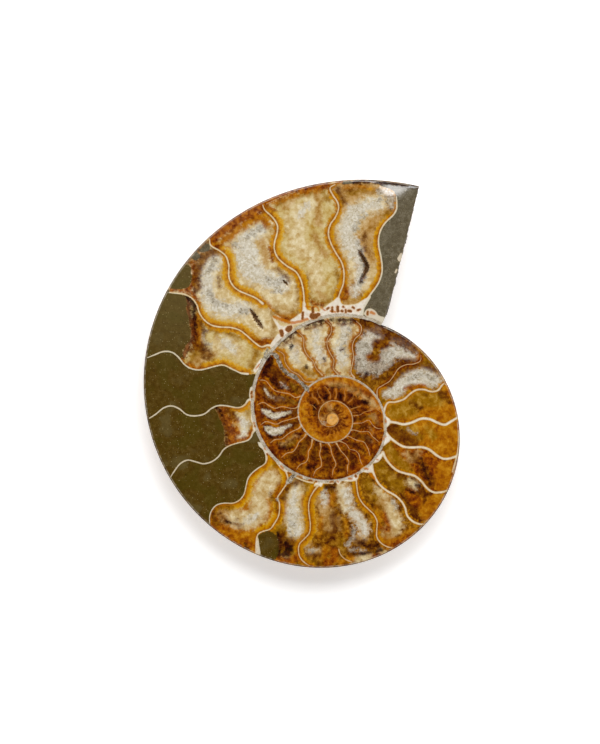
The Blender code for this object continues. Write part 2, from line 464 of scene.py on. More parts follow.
def rollOff(points):    # how deep the rounded rim lies below the face
    angle = np.degrees(np.arctan2(points[:, 1], points[:, 0]))
    radius = np.hypot(points[:, 0], points[:, 1])
    toRim = np.maximum(wallRadius(angle) - radius, 0)
    window = np.exp(-((angle - face["rollOffAngle"]) / face["rollOffSpread"]) ** 2)
    near = np.clip(1 - toRim / face["rollOffWidth"], 0, 1)
    return face["rollOffDepth"] * window * near ** 3


def brokenEdge(rim):    # chipped, and drawn in to meet both ends of the rim
    edge = smoothRoute(breakEdge, face["breakStep"])
    fromCorner, toTip = rim[-1, :2] - edge[0], rim[0, :2] - edge[-1]
    share = np.linspace(0, 1, len(edge))[:, None]
    edge = edge + fromCorner * (1 - share) ** 4 + toTip * share ** 4
    chips = random.Random(face["chipSeed"])
    run = edge[-1] - edge[0]
    across = np.array([-run[1], run[0]]) / math.hypot(*run)
    chip = np.array([[chips.uniform(-1, 1)] for _ in edge]) * face["chipSize"]
    chip[0] = chip[-1] = 0
    edge = edge + across * chip
    return np.column_stack([edge, -(face["breakRimDepth"] + rollOff(edge))])[1:-1]


def insetLoop(loop, distance):
    tangent = np.roll(loop, -1, axis=0) - np.roll(loop, 1, axis=0)
    tangent /= np.hypot(*tangent.T)[:, None]
    return loop + np.stack([-tangent[:, 1], tangent[:, 0]], -1) * distance


def pitOutline(halfWidth, route):    # a slit whose sides are saw-toothed by crystal points
    middle = smoothRoute(route, pitShape["step"])
    along = np.gradient(middle, axis=0)
    along /= np.hypot(*along.T)[:, None]
    across = np.stack([-along[:, 1], along[:, 0]], -1)
    share = np.linspace(0, 1, len(middle))
    swell = halfWidth * np.maximum(np.sin(math.pi * share), 0.0) ** pitShape["swell"]
    teeth = random.Random(pitShape["seed"])
    saw = np.array([teeth.uniform(*pitShape["teeth"]) if step % 2 else teeth.uniform(*pitShape["gums"])
                    for step in range(len(middle))])
    left = middle + across * (swell * saw)[:, None]
    right = middle - across * (swell * np.roll(saw, 3) * 0.9)[:, None]
    return np.vstack([left, right[-2:0:-1]])


def hexGrid(low, high, spacing):
    rows = []
    for row, y in enumerate(np.arange(low[1], high[1], spacing * math.sqrt(3) / 2)):
        xs = np.arange(low[0] + spacing / 2 * (row % 2), high[0], spacing)
        rows.append(np.column_stack([xs, np.full(len(xs), y)]))
    return np.vstack(rows)


# Chamber walls. Each septum runs from the venter (or the outer whorl's wall) in to the umbilical
# wall, in mm from the eye. "gold" is the width of the amber crystal lining on it, from its outer end
# to its inner: first on the side towards the mouth, then on the other. "rust" is how far that lining
# is stained.
septa = [
    {"width": 0.38, "rust": 0.1, "gold": ([0], [0.2, 0.5, 0.9, 1, 1, 1.1, 1, 1]),
     "route": [(16.2, 55.4), (16.3, 54), (16.2, 52.2), (15.3, 50.7), (13.6, 49.1), (12.4, 47.3),
               (11.8, 45.2), (11.8, 43), (12.3, 40.6), (12.65, 38), (12.5, 36), (11.8, 34), (10.5, 32),
               (9, 30), (8.2, 28.6), (7.4, 26.9)]},
    {"width": 0.36, "rust": 0.35, "gold": ([0.4, 0.8, 0.8, 0.9, 0.8, 0.7, 0.8, 0.9],
                                           [0.5, 0.6, 0.6, 0.8, 0.9, 0.7, 0.8, 0.9]),
     "route": [(0.9, 58.5), (-0.4, 57.6), (0.2, 56), (1.4, 54.2), (1.75, 52.4), (0.9, 50.2), (-0.3, 48.5),
               (-0.8, 46.3), (-0.3, 44.1), (1, 41.5), (2.5, 39), (3.1, 36.4), (2.9, 33.6), (2.1, 31.4),
               (1.6, 29.8), (1.4, 27.8)]},
    {"width": 0.36, "rust": 0.1, "gold": ([1, 1.2, 1.3, 1.2, 1.1, 1.2, 1, 1],
                                          [0.8, 0.6, 0.8, 0.9, 1, 1, 0.9, 0.9]),
     "route": [(-17.2, 53.3), (-16.7, 52.1), (-14.8, 50.3), (-13.6, 48.4), (-13.6, 46.4), (-14.2, 44.2),
               (-14.3, 42.2), (-13.4, 40.1), (-11.3, 38.2), (-9, 36.7), (-7.8, 34.8), (-7.1, 32.2),
               (-6.9, 30), (-6.85, 28), (-6.8, 26.2)]},
    {"width": 0.34, "rust": 0.1, "gold": ([0.8, 1.2, 1.5, 1.4, 1.2, 1.2, 0.9],
                                          [0.2, 0.4, 0.9, 1.2, 1.2, 1.2, 1]),
     "route": [(-30.5, 44.8), (-30.2, 43.2), (-28, 41.9), (-26.4, 40.5), (-25.7, 38.2), (-25.7, 35.6),
               (-24.9, 33.5), (-23.3, 32), (-21.3, 31.1), (-19, 30.1), (-17.2, 28.7)]},
    {"width": 0.34, "rust": 0.1, "gold": ([0.1, 0.1, 0.9, 1.3, 1.3, 1.4, 1.2, 0.9],
                                          [0, 0, 0.2, 0.7, 0.9, 0.9, 0.8, 0.4]),
     "route": [(-41, 31.5), (-39, 31.3), (-36.7, 31), (-34.9, 30), (-33.7, 28.4), (-33.1, 26.5),
               (-32, 24.8), (-30.2, 23.4), (-28, 22.85), (-25.3, 22.7), (-23.1, 22.1), (-21.3, 20.8),
               (-19.4, 19.1), (-17.6, 17.9), (-16, 18.3), (-15, 18.1)]},
    {"width": 0.34, "rust": 0.1, "gold": ([0, 0, 0, 0.5, 0.6, 0.7, 1.4, 1.4, 1.3, 1], [0]),
     "route": [(-46.4, 15), (-44.2, 15.9), (-42, 16.7), (-39.9, 16.5), (-38.3, 15.3), (-36.7, 13.4),
               (-35, 12.4), (-33, 12.1), (-31, 12.5), (-29, 13.05), (-27, 13.3), (-25, 12.4), (-22.6, 11.3),
               (-20.9, 11.1)]},
    {"width": 0.34, "rust": 0.3, "gold": ([0], [0, 0, 0, 0, 0, 0, 0.3, 0.5, 0.7, 1, 0.9]),
     "route": [(-45.6, 0), (-44, 1), (-42, 2.6), (-40, 3.1), (-38.1, 2.4), (-36.3, 1), (-34.2, 0.6),
               (-31.8, 1.1), (-30, 2.5), (-28.3, 3.2), (-26, 3.1), (-23.5, 2.65), (-21.8, 3.3),
               (-20.8, 4.6), (-20.1, 4.7)]},
    {"width": 0.32, "rust": 0.5, "gold": ([0, 0, 0, 0, 0, 0, 0.3, 0.4, 0.5, 0.8], [0]),
     "route": [(-40.4, -14.9), (-39.1, -12.9), (-37.8, -11.3), (-36, -10.45), (-34, -10.85), (-32, -11.35),
               (-30, -10.85), (-28.3, -9.6), (-26.9, -7.7), (-25.2, -6.7), (-23.2, -6.1), (-21.2, -5.6),
               (-20.2, -4.8), (-19.7, -3.5), (-19.2, -3)]},
    {"width": 0.28, "rust": 0.35, "gold": ([0], [0.6, 0.7, 1, 1.2, 1.3, 1.4, 1.4, 1.3, 1.2, 1]),
     "route": [(-30.4, -27), (-30.5, -24.7), (-29.9, -22.9), (-28.6, -21.6), (-26.8, -21.2), (-24.7, -21.2),
               (-23.1, -20.5), (-21.9, -19), (-21.4, -17), (-20.9, -15.1), (-20, -13.8), (-18.3, -12.4),
               (-16.7, -11.4), (-16.3, -10.4), (-16.3, -9.2)]},
    {"width": 0.28, "rust": 0.3, "gold": ([0.1, 0.5, 1.2, 1.2, 1.2, 1.1, 1, 1.2],
                                          [0, 0.2, 0.3, 0.8, 0.8, 0.9, 0.9, 1]),
     "route": [(-18.4, -34), (-18.9, -32.2), (-18.8, -30.7), (-18.4, -29), (-17, -28.2), (-15.4, -27.7),
               (-14.3, -26.3), (-13.3, -24.5), (-13, -22.7), (-13.1, -21), (-13.5, -19.8), (-12.7, -18.5),
               (-11.3, -16.5), (-10.9, -15.2), (-11.1, -14.2), (-11.4, -13)]},
    {"width": 0.26, "rust": 0.45, "gold": ([0.6, 0.7, 0.8, 1, 1, 1, 1, 1], [0.7, 0.8, 1.1, 1.2, 1.2, 1.2, 1]),
     "route": [(-5.2, -37), (-6.7, -36.1), (-7.9, -34.7), (-8.3, -33), (-8, -31.4), (-6.9, -30.2),
               (-5.6, -28.7), (-5.3, -26.8), (-5.5, -24.8), (-5.75, -22.3), (-5.4, -20), (-4.3, -18),
               (-3.2, -16.7)]},
    {"width": 0.28, "rust": 0.45, "gold": ([0.4, 0.5, 0.6, 0.7, 0.7, 0.8], [0.4, 0.6, 0.6, 0.6, 0.6, 0.6]),
     "route": [(15.8, -32.4), (13.9, -32.1), (12.2, -31), (11.3, -29.6), (11.3, -27.8), (11.4, -25.9),
               (10.6, -24.1), (9.2, -22.7), (7.7, -21.2), (6.7, -19.3), (6.35, -17.3), (6.2, -15.5),
               (6.5, -13.9)]},
    {"width": 0.5, "rust": 0.2, "gold": ([0.3], [0.35]),
     "route": [(24.3, -26.3), (22.4, -26.5), (20.4, -25.8), (18.9, -24.3), (18.4, -22.4), (17.4, -20.7),
               (15.9, -19.3), (14, -18.2), (12.2, -16.8), (11, -15), (10.3, -13), (10, -11.5)]},
    {"width": 0.55, "rust": 0.3, "gold": ([0.3], [0.35]),
     "route": [(29.7, -17.8), (27.8, -18.4), (25.6, -18.5), (23.9, -17.5), (22.5, -15.8), (20.8, -14.4),
               (18.6, -13.8), (16.5, -13.1), (14.8, -11.7), (13.5, -10), (12.8, -8.5)]},
    {"width": 0.6, "rust": 0.2, "gold": ([0.3], [0.35]),
     "route": [(31.9, -9.2), (30, -9.9), (28, -10.1), (26.2, -9.2), (24.4, -7.8), (22.4, -7.2), (20, -7.3),
               (17.8, -7), (16, -5.9), (14.4, -4.6), (13.2, -3.2)]},
    {"width": 0.64, "rust": 0.1, "gold": ([0.3], [0.35]),
     "route": [(31.6, 0.3), (30, -0.7), (28.2, -1.6), (26.3, -1), (24.4, -0.15), (22.3, -0.1), (20.2, -1),
               (18.1, -1.5), (16, -1.05), (14.3, -0.9), (13.2, -1.1)]},
    {"width": 0.44, "rust": 0.3, "gold": ([0.3], [0.3, 0.4, 0.6, 0.6, 0.6, 0.4]),
     "route": [(28.6, 9), (27.6, 8.3), (26.6, 7), (24.9, 6.7), (23.2, 7.2), (21.2, 7.1), (19.6, 6.1),
               (18.1, 4.8), (16, 4.1), (14.2, 4), (13.5, 3), (13, 1.6)]},
    {"width": 0.2, "rust": 0.9, "gold": ([0.4, 0.7, 0.9, 0.9, 0.7, 0.6], [0.4]),
     "route": [(22.3, 15.8), (22.2, 14.4), (20.6, 13.6), (18.6, 13.4), (16.8, 12.5), (15.7, 10.9),
               (14.5, 9.3), (12.9, 8.3), (11.5, 7.3), (11.4, 5.2)]},
    {"width": 0.2, "rust": 0.7, "gold": ([0.3], [0.5, 0.6, 0.6, 0.5, 0.3, 0.3]),
     "route": [(6.2, 24.3), (7.4, 23), (7.2, 21.2), (5.8, 19.8), (5.2, 17.9), (5.5, 15.6), (5.2, 13.5),
               (4.85, 11.5), (5.7, 10.2)]},
    {"width": 0.2, "rust": 0.7, "gold": ([0.45], [0.55]),
     "route": [(-1.3, 24.3), (-0.15, 23.2), (-0.1, 21.5), (-1, 19.9), (-1.1, 18.1), (-0.3, 16.2),
               (0.6, 14.5), (0.4, 12.5), (1.6, 11)]},
    {"width": 0.2, "rust": 0.5, "gold": ([0.5], [0.5]),
     "route": [(-8.2, 21.3), (-7, 20.1), (-6.95, 18), (-6.2, 16), (-4.7, 14.4), (-3.8, 12.4),
               (-2.3, 10.8)]},
    {"width": 0.17, "rust": 0.4, "gold": ([0.7], [0.5]),
     "route": [(-13.6, 17), (-12, 16), (-11.6, 14), (-10.2, 12), (-8.1, 10.8), (-6.6, 9.2), (-4.5, 9.1)]},
    {"width": 0, "rust": 0.8, "gold": ([0.5], [0.5]),
     "route": [(-15.4, 16.3), (-13.6, 15.3), (-12.7, 13.2), (-11.2, 11.3), (-9.2, 10.3), (-7.6, 8.9),
               (-6.3, 7.7)]},
    {"width": 0.18, "rust": 1, "gold": ([0.5], [0.5]),
     "route": [(-18.3, 9.6), (-16.5, 9.4), (-15.3, 8), (-14.1, 6.9), (-12.3, 6.45), (-10.5, 6.1),
               (-9.1, 5.2), (-7.8, 5.5)]},
    {"width": 0.18, "rust": 1, "gold": ([0.4], [0.5]),
     "route": [(-18.6, 3.4), (-17.1, 4), (-15.8, 3.3), (-14.2, 2.5), (-12.4, 2.95), (-10.7, 2.6),
               (-9.2, 2.5), (-8.3, 3)]},
    {"width": 0.18, "rust": 0.9, "gold": ([0.4], [0.5]),
     "route": [(-17.8, -1.7), (-16.3, -0.8), (-13.9, -1.45), (-12.3, -0.8), (-10.4, -0.25), (-8.8, 0.2),
               (-8.2, 0.7)]},
    {"width": 0.18, "rust": 0.7, "gold": ([0.4], [0.5]),
     "route": [(-15.4, -6.2), (-14.1, -5.3), (-12.4, -5.1), (-11.3, -4.2), (-9.9, -3.3), (-8.3, -2.6),
               (-7.7, -2)]},
    {"width": 0.18, "rust": 0.7, "gold": ([0.3], [0.4]),
     "route": [(-12.5, -9.8), (-11.2, -8.7), (-9.7, -8.35), (-8.8, -7.3), (-8.1, -5.9), (-6.9, -4.8),
               (-6.4, -3.9)]},
    {"width": 0.18, "rust": 0.7, "gold": ([0.3], [0.4]),
     "route": [(-8.8, -12.8), (-7.9, -11.6), (-6.4, -10.9), (-5.8, -9.6), (-5.8, -8.3), (-5.1, -7.1),
               (-4.8, -5.4)]},
    {"width": 0.17, "rust": 0.8, "gold": ([0.3], [0.3]),
     "route": [(-4.6, -14.4), (-3.9, -12.9), (-2.6, -12), (-2.6, -10.4), (-3, -9), (-2.65, -7.4),
               (-2.8, -6.2)]},
    {"width": 0.17, "rust": 0.8, "gold": ([0.3], [0.3]),
     "route": [(0.2, -14.4), (0.4, -12.9), (1.1, -11.5), (0.6, -10.1), (0, -8.7), (-0.2, -7.3),
               (-0.8, -6.3)]},
    {"width": 0.17, "rust": 0.9, "gold": ([0.3], [0.3]),
     "route": [(4, -13.9), (4, -12), (4.3, -10.8), (3.5, -9.4), (2.4, -8.2), (1.6, -6.9), (1.2, -6.2)]},
    {"width": 0.16, "rust": 1, "gold": ([0.5], [0.4]),
     "route": [(7.7, -11.7), (7.2, -10.6), (6.8, -8.9), (5.8, -8), (4.5, -7.7), (3.7, -6.5), (2.1, -5.7)]},
    {"width": 0.16, "rust": 1, "gold": ([0.5], [0.4]),
     "route": [(9.6, -9.4), (9.2, -7.8), (8.8, -7), (8.1, -5.9), (6.4, -5.5), (4.7, -4.7), (3.6, -4.3)]},
    {"width": 0.16, "rust": 1, "gold": ([0.5], [0.4]),
     "route": [(11.9, -6), (10.9, -5.1), (10.2, -4.5), (9.2, -3.3), (7.4, -3.35), (5.8, -2.95),
               (4.8, -2.9)]},
    {"width": 0.16, "rust": 1, "gold": ([0.5], [0.4]),
     "route": [(12.6, -2.6), (11.4, -2.5), (10.3, -1.7), (9.3, -0.45), (7.7, -1.1), (6.4, -1.2),
               (5.1, -1.3)]},
    {"width": 0.13, "rust": 1, "gold": ([0.5], [0.4]),
     "route": [(12.4, 1.4), (11, 2.4), (9.6, 1.9), (8.3, 1.6), (7, 0.85), (5, 0.6)]},
]

# Thin partial septa that stop inside their chamber: width, line
spurs = [
    (0.3, [(1.8, -32.7), (2.2, -34), (3.4, -35.2), (5, -35.9)]),
    (0.14, [(4.6, 2.3), (6.4, 2.8), (7.3, 3.1)]),
    (0.13, [(-0.4, 4.9), (-0.3, 6), (-1.1, 7.4), (-1.8, 8.1)]), (0.13, [(0.9, 4.9), (1.3, 5.9), (1, 7.4)]),
    (0.14, [(3.1, 4.4), (3.4, 5.6), (3.2, 6.9), (4.1, 7.6)]),
    (0.14, [(4.1, 3.9), (5.3, 4.9), (5.5, 6), (6.8, 6.8)]),
    (0.13, [(-2.1, 4.3), (-2.9, 5.3), (-3.6, 6.9), (-2.9, 7.8)]),
    (0.12, [(-3.2, 3.6), (-3.8, 4.8), (-4.7, 5.3), (-4.9, 6.2)]),
    (0.12, [(-3.8, 2.3), (-4.8, 3.3), (-5.7, 3.3)]),
]

# What has grown or settled in each chamber. Chamber 0 is the body chamber's stub, ahead of the first
# septum. The ground fills the chamber, and over it lie bands (mineral, width, line) and patches
# (mineral, 0, outline), all in mm from the eye.
underLining = ["olive", "tan", "cream", "frost", "grey", "amber"]    # in the order they are laid on
overLining = ["rust", "umber", "garnet", "slate", "silt", "char", "milk", "pearl"]
settled = ["slate", "silt"]
grounds = ["honey", "agate", "olive", "tan", "cream", "amber", "rust", "umber", "garnet", "glass"] + settled

chambers = {
    0: ("slate", [
        ("rust", 0.5, [(13.2, 25.6), (13.8, 28)])]),
    1: ("tan", [
        ("cream", 4, [(11.4, 53.8), (9, 53.2), (6, 51), (4.3, 47)]),
        ("frost", 2.4, [(11.4, 53.6), (9, 53.2), (6.4, 52)]),
        ("grey", 2, [(12.2, 56.8), (14.2, 56), (15.2, 54.4), (15.2, 52.8)]),
        ("frost", 3.2, [(6, 51.6), (4.6, 49), (3.9, 46.4), (4.5, 44), (5.8, 41.8)]),
        ("tan", 2.4, [(11.4, 50), (9, 47), (9, 43.6), (10.2, 40)]),
        ("olive", 1.6, [(15, 55.4), (14.8, 52.6), (12.6, 49.6)]),
        ("frost", 1.9, [(5.8, 41.8), (7, 39.2), (7.3, 37), (7, 34.6)]),
        ("frost", 1.3, [(6.6, 33.2), (6, 31.6)]), ("grey", 1.2, [(8.6, 51.2), (6.6, 49.4), (5.8, 47)]),
        ("grey", 0.9, [(6.6, 43.4), (7.6, 40.8), (7.7, 38), (7.6, 35.8), (6.9, 33.6)]),
        ("grey", 1, [(12, 55), (14.2, 53.6)]),
        ("cream", 1.6, [(3.4, 50), (2.6, 46.6), (3.6, 43), (5, 39.4), (5.4, 35.8)]),
        ("cream", 1.8, [(10.8, 37.6), (10, 34.6), (8.2, 32.6)]),
        ("olive", 1.5, [(12.4, 56.3), (8.4, 57), (4.2, 56.4)]),
        ("amber", 0.9, [(10.2, 57.5), (7, 57.9), (3.4, 57.6)]),
        ("umber", 1.2, [(1.4, 57.4), (2.5, 55.6), (3, 53.6)]),
        ("umber", 0.8, [(8.6, 46.4), (8.2, 43.6), (9.2, 41)]),
        ("char", 0.9, [(7, 41.6), (8.3, 39.2), (8.7, 37.4), (8, 35.4), (7.4, 34.4)]),
        ("umber", 0.7, [(3.4, 56.9), (6.4, 57.2)]), ("rust", 0.8, [(2.6, 30), (3.6, 30.6), (3.2, 33)]),
        ("olive", 1.8, [(4.4, 30.2), (7.6, 30.4), (9.6, 32.6)])]),
    2: ("honey", [
        ("cream", 3, [(-8, 52.4), (-8.2, 48), (-8.6, 44.6), (-6.4, 42.2), (-4.6, 40.2), (-4, 37.4)]),
        ("cream", 1.4, [(-11, 50.4), (-11, 47.2)]), ("cream", 2.4, [(-4.4, 36.4), (-3, 33.6)]),
        ("cream", 2.6, [(-5.6, 53.6), (-7.6, 51.6), (-8.2, 49.4)]),
        ("frost", 0.6, [(-6, 53.2), (-7.8, 51.2)]), ("cream", 2.4, [(-9, 46.4), (-9.2, 43.2), (-7, 41.2)]),
        ("tan", 2.2, [(-3.6, 55.2), (-3.4, 52), (-3.2, 49)]), ("tan", 1.6, [(-11.8, 52.8), (-9.4, 54.2)]),
        ("tan", 1.6, [(-4.2, 45.6), (-3, 43), (-1.6, 40.6)]), ("tan", 1.5, [(-3.6, 31.8), (-2.2, 30.6)]),
        ("olive", 1.6, [(-13.6, 53.6), (-8, 55.8), (-2.4, 56.6), (-1.2, 54.8)]),
        ("amber", 1, [(-14.6, 53.8), (-9, 56), (-3, 57.2)]),
        ("rust", 1.9, [(-16.6, 54), (-12, 56.2), (-6, 57.8), (-1.2, 58.6)]),
        ("rust", 0.9, [(-16, 53), (-14.6, 52.2)]), ("olive", 1.2, [(1.4, 37), (1.9, 33.6), (0.8, 31)]),
        ("olive", 1.5, [(-6.1, 35.6), (-5.9, 32), (-5.2, 29.6), (-2.4, 28.9), (0.6, 29.8)]),
        ("rust", 0.7, [(-5.6, 29.4), (-4.6, 28.9), (-2.4, 28.2)])]),
    3: ("cream", [
        ("cream", 5.4, [(-23.4, 44.4), (-21.6, 41), (-20.8, 37.2), (-16, 34), (-12.6, 31)]),
        ("frost", 3.8, [(-21.6, 44), (-20.8, 41.6), (-20.2, 38), (-19, 36.4)]),
        ("frost", 1.8, [(-20.6, 45.6), (-17.8, 47.2)]),
        ("amber", 1.9, [(-28.2, 43.2), (-25.2, 45.8), (-21.4, 48.6), (-17.6, 50.4), (-16, 48.6)]),
        ("amber", 1.3, [(-25.9, 42.8), (-25, 40.8)]),
        ("frost", 3.4, [(-20.6, 36.6), (-17, 35), (-12.6, 33.4)]),
        ("frost", 2, [(-23.4, 42.6), (-22.8, 38.4)]),
        ("grey", 1.6, [(-20.6, 45.8), (-19, 47), (-17, 47.8)]), ("grey", 1, [(-24.6, 43.4), (-22.6, 42.6)]),
        ("grey", 1.5, [(-16, 34.6), (-13.8, 33.8), (-12.2, 34.2)]),
        ("grey", 0.9, [(-14.4, 31.6), (-12.6, 31.4)]),
        ("tan", 2, [(-17.2, 44), (-16.4, 40.4), (-17.4, 37.8)]),
        ("umber", 0.5, [(-14, 37.4), (-12, 36.2), (-10.4, 34.2)]),
        ("cream", 2.4, [(-15.6, 31.6), (-12.6, 29.6), (-11.8, 27.8)]),
        ("olive", 1.2, [(-8.9, 35.2), (-8.2, 31.6), (-8.4, 28.2), (-10, 25.8)]),
        ("olive", 1.7, [(-28.4, 43.6), (-25, 46.2), (-21, 48.9), (-17.6, 50.4), (-16, 48)]),
        ("rust", 2.6, [(-30.4, 44.6), (-26.6, 47.6), (-22.2, 50.5), (-18, 52.6)]),
        ("rust", 0.8, [(-29, 42.8), (-27.6, 43.4)]), ("rust", 0.7, [(-15.4, 42.6), (-14.9, 39.6)]),
        ("olive", 2.4, [(-13.8, 26.8), (-11.4, 26.1), (-9.2, 26.4)]),
        ("amber", 1.2, [(-13.8, 25.8), (-11.2, 25.2), (-9, 25.4)]),
        ("rust", 0.5, [(-13, 25.2), (-10.4, 24.4)]),
        ("amber", 1.3, [(-16.8, 29), (-15.2, 27.4), (-14.5, 25.8)])]),
    4: ("cream", [
        ("umber", 1.7, [(-40.6, 33.8), (-38.4, 37), (-35.2, 40.4), (-32.4, 43.2), (-30.8, 44.4)]),
        ("rust", 0.7, [(-35.2, 39), (-34, 39.6), (-33.2, 41.4)]),
        ("umber", 2.4, [(-28.6, 42.2), (-31.4, 40.9), (-33.2, 38.4), (-33.8, 35.4), (-33.6, 32.4)]),
        ("olive", 1.6, [(-28.4, 41.4), (-31.2, 39.9), (-32.8, 36.8)]),
        ("rust", 1.2, [(-34.4, 38.6), (-34.4, 35.2), (-35, 33), (-36.2, 32.2)]),
        ("rust", 0.9, [(-40.4, 31.9), (-38.2, 32.1), (-35.4, 31.5), (-33.6, 29.8)]),
        ("amber", 0.7, [(-33.9, 34.6), (-33.6, 33.2)]),
        ("frost", 2.7, [(-29.4, 39.4), (-31, 36.6), (-31.2, 33), (-30.7, 29.8), (-28.4, 27.8)]),
        ("frost", 2.6, [(-28.4, 27.8), (-25, 27.2), (-21.6, 27.4)]),
        ("grey", 1.3, [(-29.4, 39), (-30.6, 36.8)]),
        ("grey", 1.2, [(-30.6, 31.4), (-29.4, 29.2), (-26.4, 28.2)]),
        ("grey", 1.1, [(-22.8, 26.8), (-20.9, 26.8)]), ("umber", 0.5, [(-28.2, 35.2), (-27.8, 33)]),
        ("cream", 2, [(-29, 25.6), (-25.6, 25), (-22, 25), (-19.8, 22.6)]),
        ("cream", 1.6, [(-18.2, 26.8), (-16.4, 24.6), (-16.2, 21.8)]),
        ("olive", 1.4, [(-15, 26.6), (-14.4, 23.6), (-15, 20.8)]),
        ("rust", 1.3, [(-20.2, 20), (-18, 18.9), (-16.4, 19.3), (-15, 19.2)]),
        ("slate", 0, [(-33.4, 41.6), (-31.6, 43.6), (-30.6, 43.5), (-30.3, 42.4), (-31.8, 41.6)]),
        ("slate", 0, [(-35.2, 40.2), (-34, 41.6), (-33.1, 41.2), (-32.9, 40.3), (-34, 39.4)]),
        ("silt", 0, [(-38.7, 36.4), (-36.8, 38.4), (-35.4, 37.9), (-35, 35.8), (-35.2, 33.9), (-36.2, 32.7),
                     (-38.4, 32.3), (-40.4, 33)])]),
    5: ("honey", [
        ("silt", 0, [(-48, 15), (-38.2, 15), (-37.2, 16.8), (-36.2, 18.5), (-35.2, 20), (-35.2, 22),
                     (-35.7, 23.6), (-35.7, 25), (-36.3, 27), (-36.3, 29), (-37.2, 30.8), (-43, 32.5),
                     (-50, 24)]),
        ("char", 1.9, [(-35.8, 30.7), (-34.6, 29.4), (-34.1, 27.6)]),
        ("char", 1.2, [(-34.7, 26.8), (-34.2, 24.6), (-34, 22.8)]),
        ("garnet", 1.7, [(-36.8, 30.2), (-36, 28), (-35.8, 26), (-35, 24), (-34.7, 22), (-34.8, 20.2),
                         (-35.8, 18.6), (-36.6, 17), (-36.8, 15.6)]),
        ("olive", 3.4, [(-33.6, 24), (-33, 20.4), (-33.4, 17), (-34.4, 14.6)]),
        ("amber", 1.6, [(-33.8, 25.4), (-33.4, 21.6), (-33.8, 17.6)]),
        ("umber", 1.4, [(-34.2, 22), (-34, 19.6), (-34.8, 17)]),
        ("umber", 2.6, [(-33, 17.8), (-31.6, 16.8), (-30.8, 15.6)]),
        ("umber", 1.2, [(-32.8, 24), (-31.8, 21.8)]),
        ("tan", 2.2, [(-33.6, 14.2), (-31, 14.8), (-29.4, 16.2)]),
        ("grey", 0.9, [(-31.6, 22.2), (-32.3, 20.4), (-31.4, 18.9), (-30.4, 18.2)]),
        ("cream", 3, [(-28.6, 18.4), (-26, 18.4), (-23.6, 16.8)]),
        ("frost", 0.9, [(-27, 19.2), (-25.6, 18.2), (-24.8, 17)]),
        ("olive", 1.3, [(-30.4, 22), (-26.8, 21.6), (-23, 20.4)]),
        ("olive", 1.8, [(-20, 13.2), (-19, 15.4), (-19, 17.6)]),
        ("rust", 0.6, [(-36.2, 13.8), (-34.6, 12.9), (-32.8, 12.8)])]),
    6: ("silt", []),
    7: ("honey", [
        ("silt", 0, [(-48, 4), (-30, 4), (-29.2, 2.4), (-28.4, 1.2), (-28.2, 0.2), (-27.6, -0.8),
                     (-27, -2.2), (-26.7, -4), (-26.8, -5.5), (-26.6, -8), (-30, -14), (-42, -18),
                     (-50, -6)]),
        ("umber", 1.8, [(-29.2, 3), (-28, 0.8), (-27.2, -1.6), (-26.6, -4), (-26.4, -7.6)]),
        ("char", 0.5, [(-28.9, 2.8), (-27.9, 1.8), (-27.4, 0.6)]),
        ("char", 0.6, [(-26.4, -4.4), (-26.3, -6.8)]),
        ("rust", 2.6, [(-27, 1.4), (-25.8, -1.4), (-25, -3.8), (-25, -5.8)]),
        ("amber", 1.6, [(-25.4, 1.8), (-24.2, -1), (-23.4, -3.6)]),
        ("umber", 2, [(-26, 1.8), (-24.4, 0.4)]), ("cream", 2.2, [(-22.8, 0.6), (-22, -2), (-22.4, -3.6)]),
        ("frost", 1.4, [(-22.2, -0.8), (-21.7, -2.6), (-22.8, -4.2)]),
        ("olive", 1.8, [(-21.8, 1.8), (-20.5, 0.2), (-20.5, -2)]),
        ("rust", 0.7, [(-23.6, -5.4), (-21, -4.9), (-20.4, -3.6)])]),
    8: ("silt", []),
    9: ("amber", [
        ("tan", 5, [(-26, -24.4), (-20.6, -25.2), (-18, -22.4), (-16.8, -18.4), (-15.4, -15)]),
        ("cream", 3.8, [(-23.4, -25.2), (-20.6, -25.2), (-18.4, -23.8), (-17.8, -21.4), (-17.2, -18.4),
                        (-15.6, -15.8)]),
        ("frost", 0.5, [(-21, -25.6), (-18.8, -24.4)]),
        ("umber", 1.6, [(-29.3, -22.8), (-29.5, -24.8), (-28.8, -26.4)]),
        ("umber", 1.1, [(-28.2, -22.4), (-25, -22.1)]), ("umber", 1.3, [(-28, -24.2), (-26.6, -25.4)]),
        ("umber", 0.8, [(-26.6, -25.6), (-24.6, -26.2), (-22.8, -26.8)]),
        ("umber", 0.5, [(-23.6, -25.6), (-23.1, -27.6)]), ("char", 0.4, [(-28.8, -25.1), (-27.8, -25.5)]),
        ("char", 0.4, [(-26.2, -25.9), (-25.2, -26.3)]),
        ("amber", 2.8, [(-29.4, -26.4), (-28, -28), (-25.8, -29.2), (-23.2, -30.6), (-20.6, -32)]),
        ("rust", 0.6, [(-29.8, -26.4), (-28.6, -28), (-26.2, -29.6), (-23.6, -31.2), (-21, -32.6)]),
        ("rust", 0.7, [(-27.6, -27.2), (-26, -27.8)]),
        ("amber", 1.1, [(-26, -27.8), (-23.6, -29), (-20.6, -29.4)]),
        ("rust", 0.8, [(-21.4, -30.6), (-19.8, -31.9)]), ("char", 0.7, [(-21.7, -31.5), (-21.2, -32.4)]),
        ("olive", 1.9, [(-14.6, -12), (-15, -13.6)]), ("olive", 1.2, [(-12.8, -14.4), (-12.4, -16)]),
        ("rust", 1.1, [(-12.7, -17), (-13.8, -19)]), ("umber", 1, [(-13.8, -20.8), (-13.8, -22.4)]),
        ("umber", 0.8, [(-15.2, -18.4), (-14.8, -20.4)]),
        ("amber", 1.3, [(-15.6, -20.4), (-15, -22.4), (-15, -24.6)])]),
    10: ("olive", [
        ("cream", 3.4, [(-9.2, -17.6), (-9.8, -21.6), (-9.4, -25), (-8.8, -28.4)]),
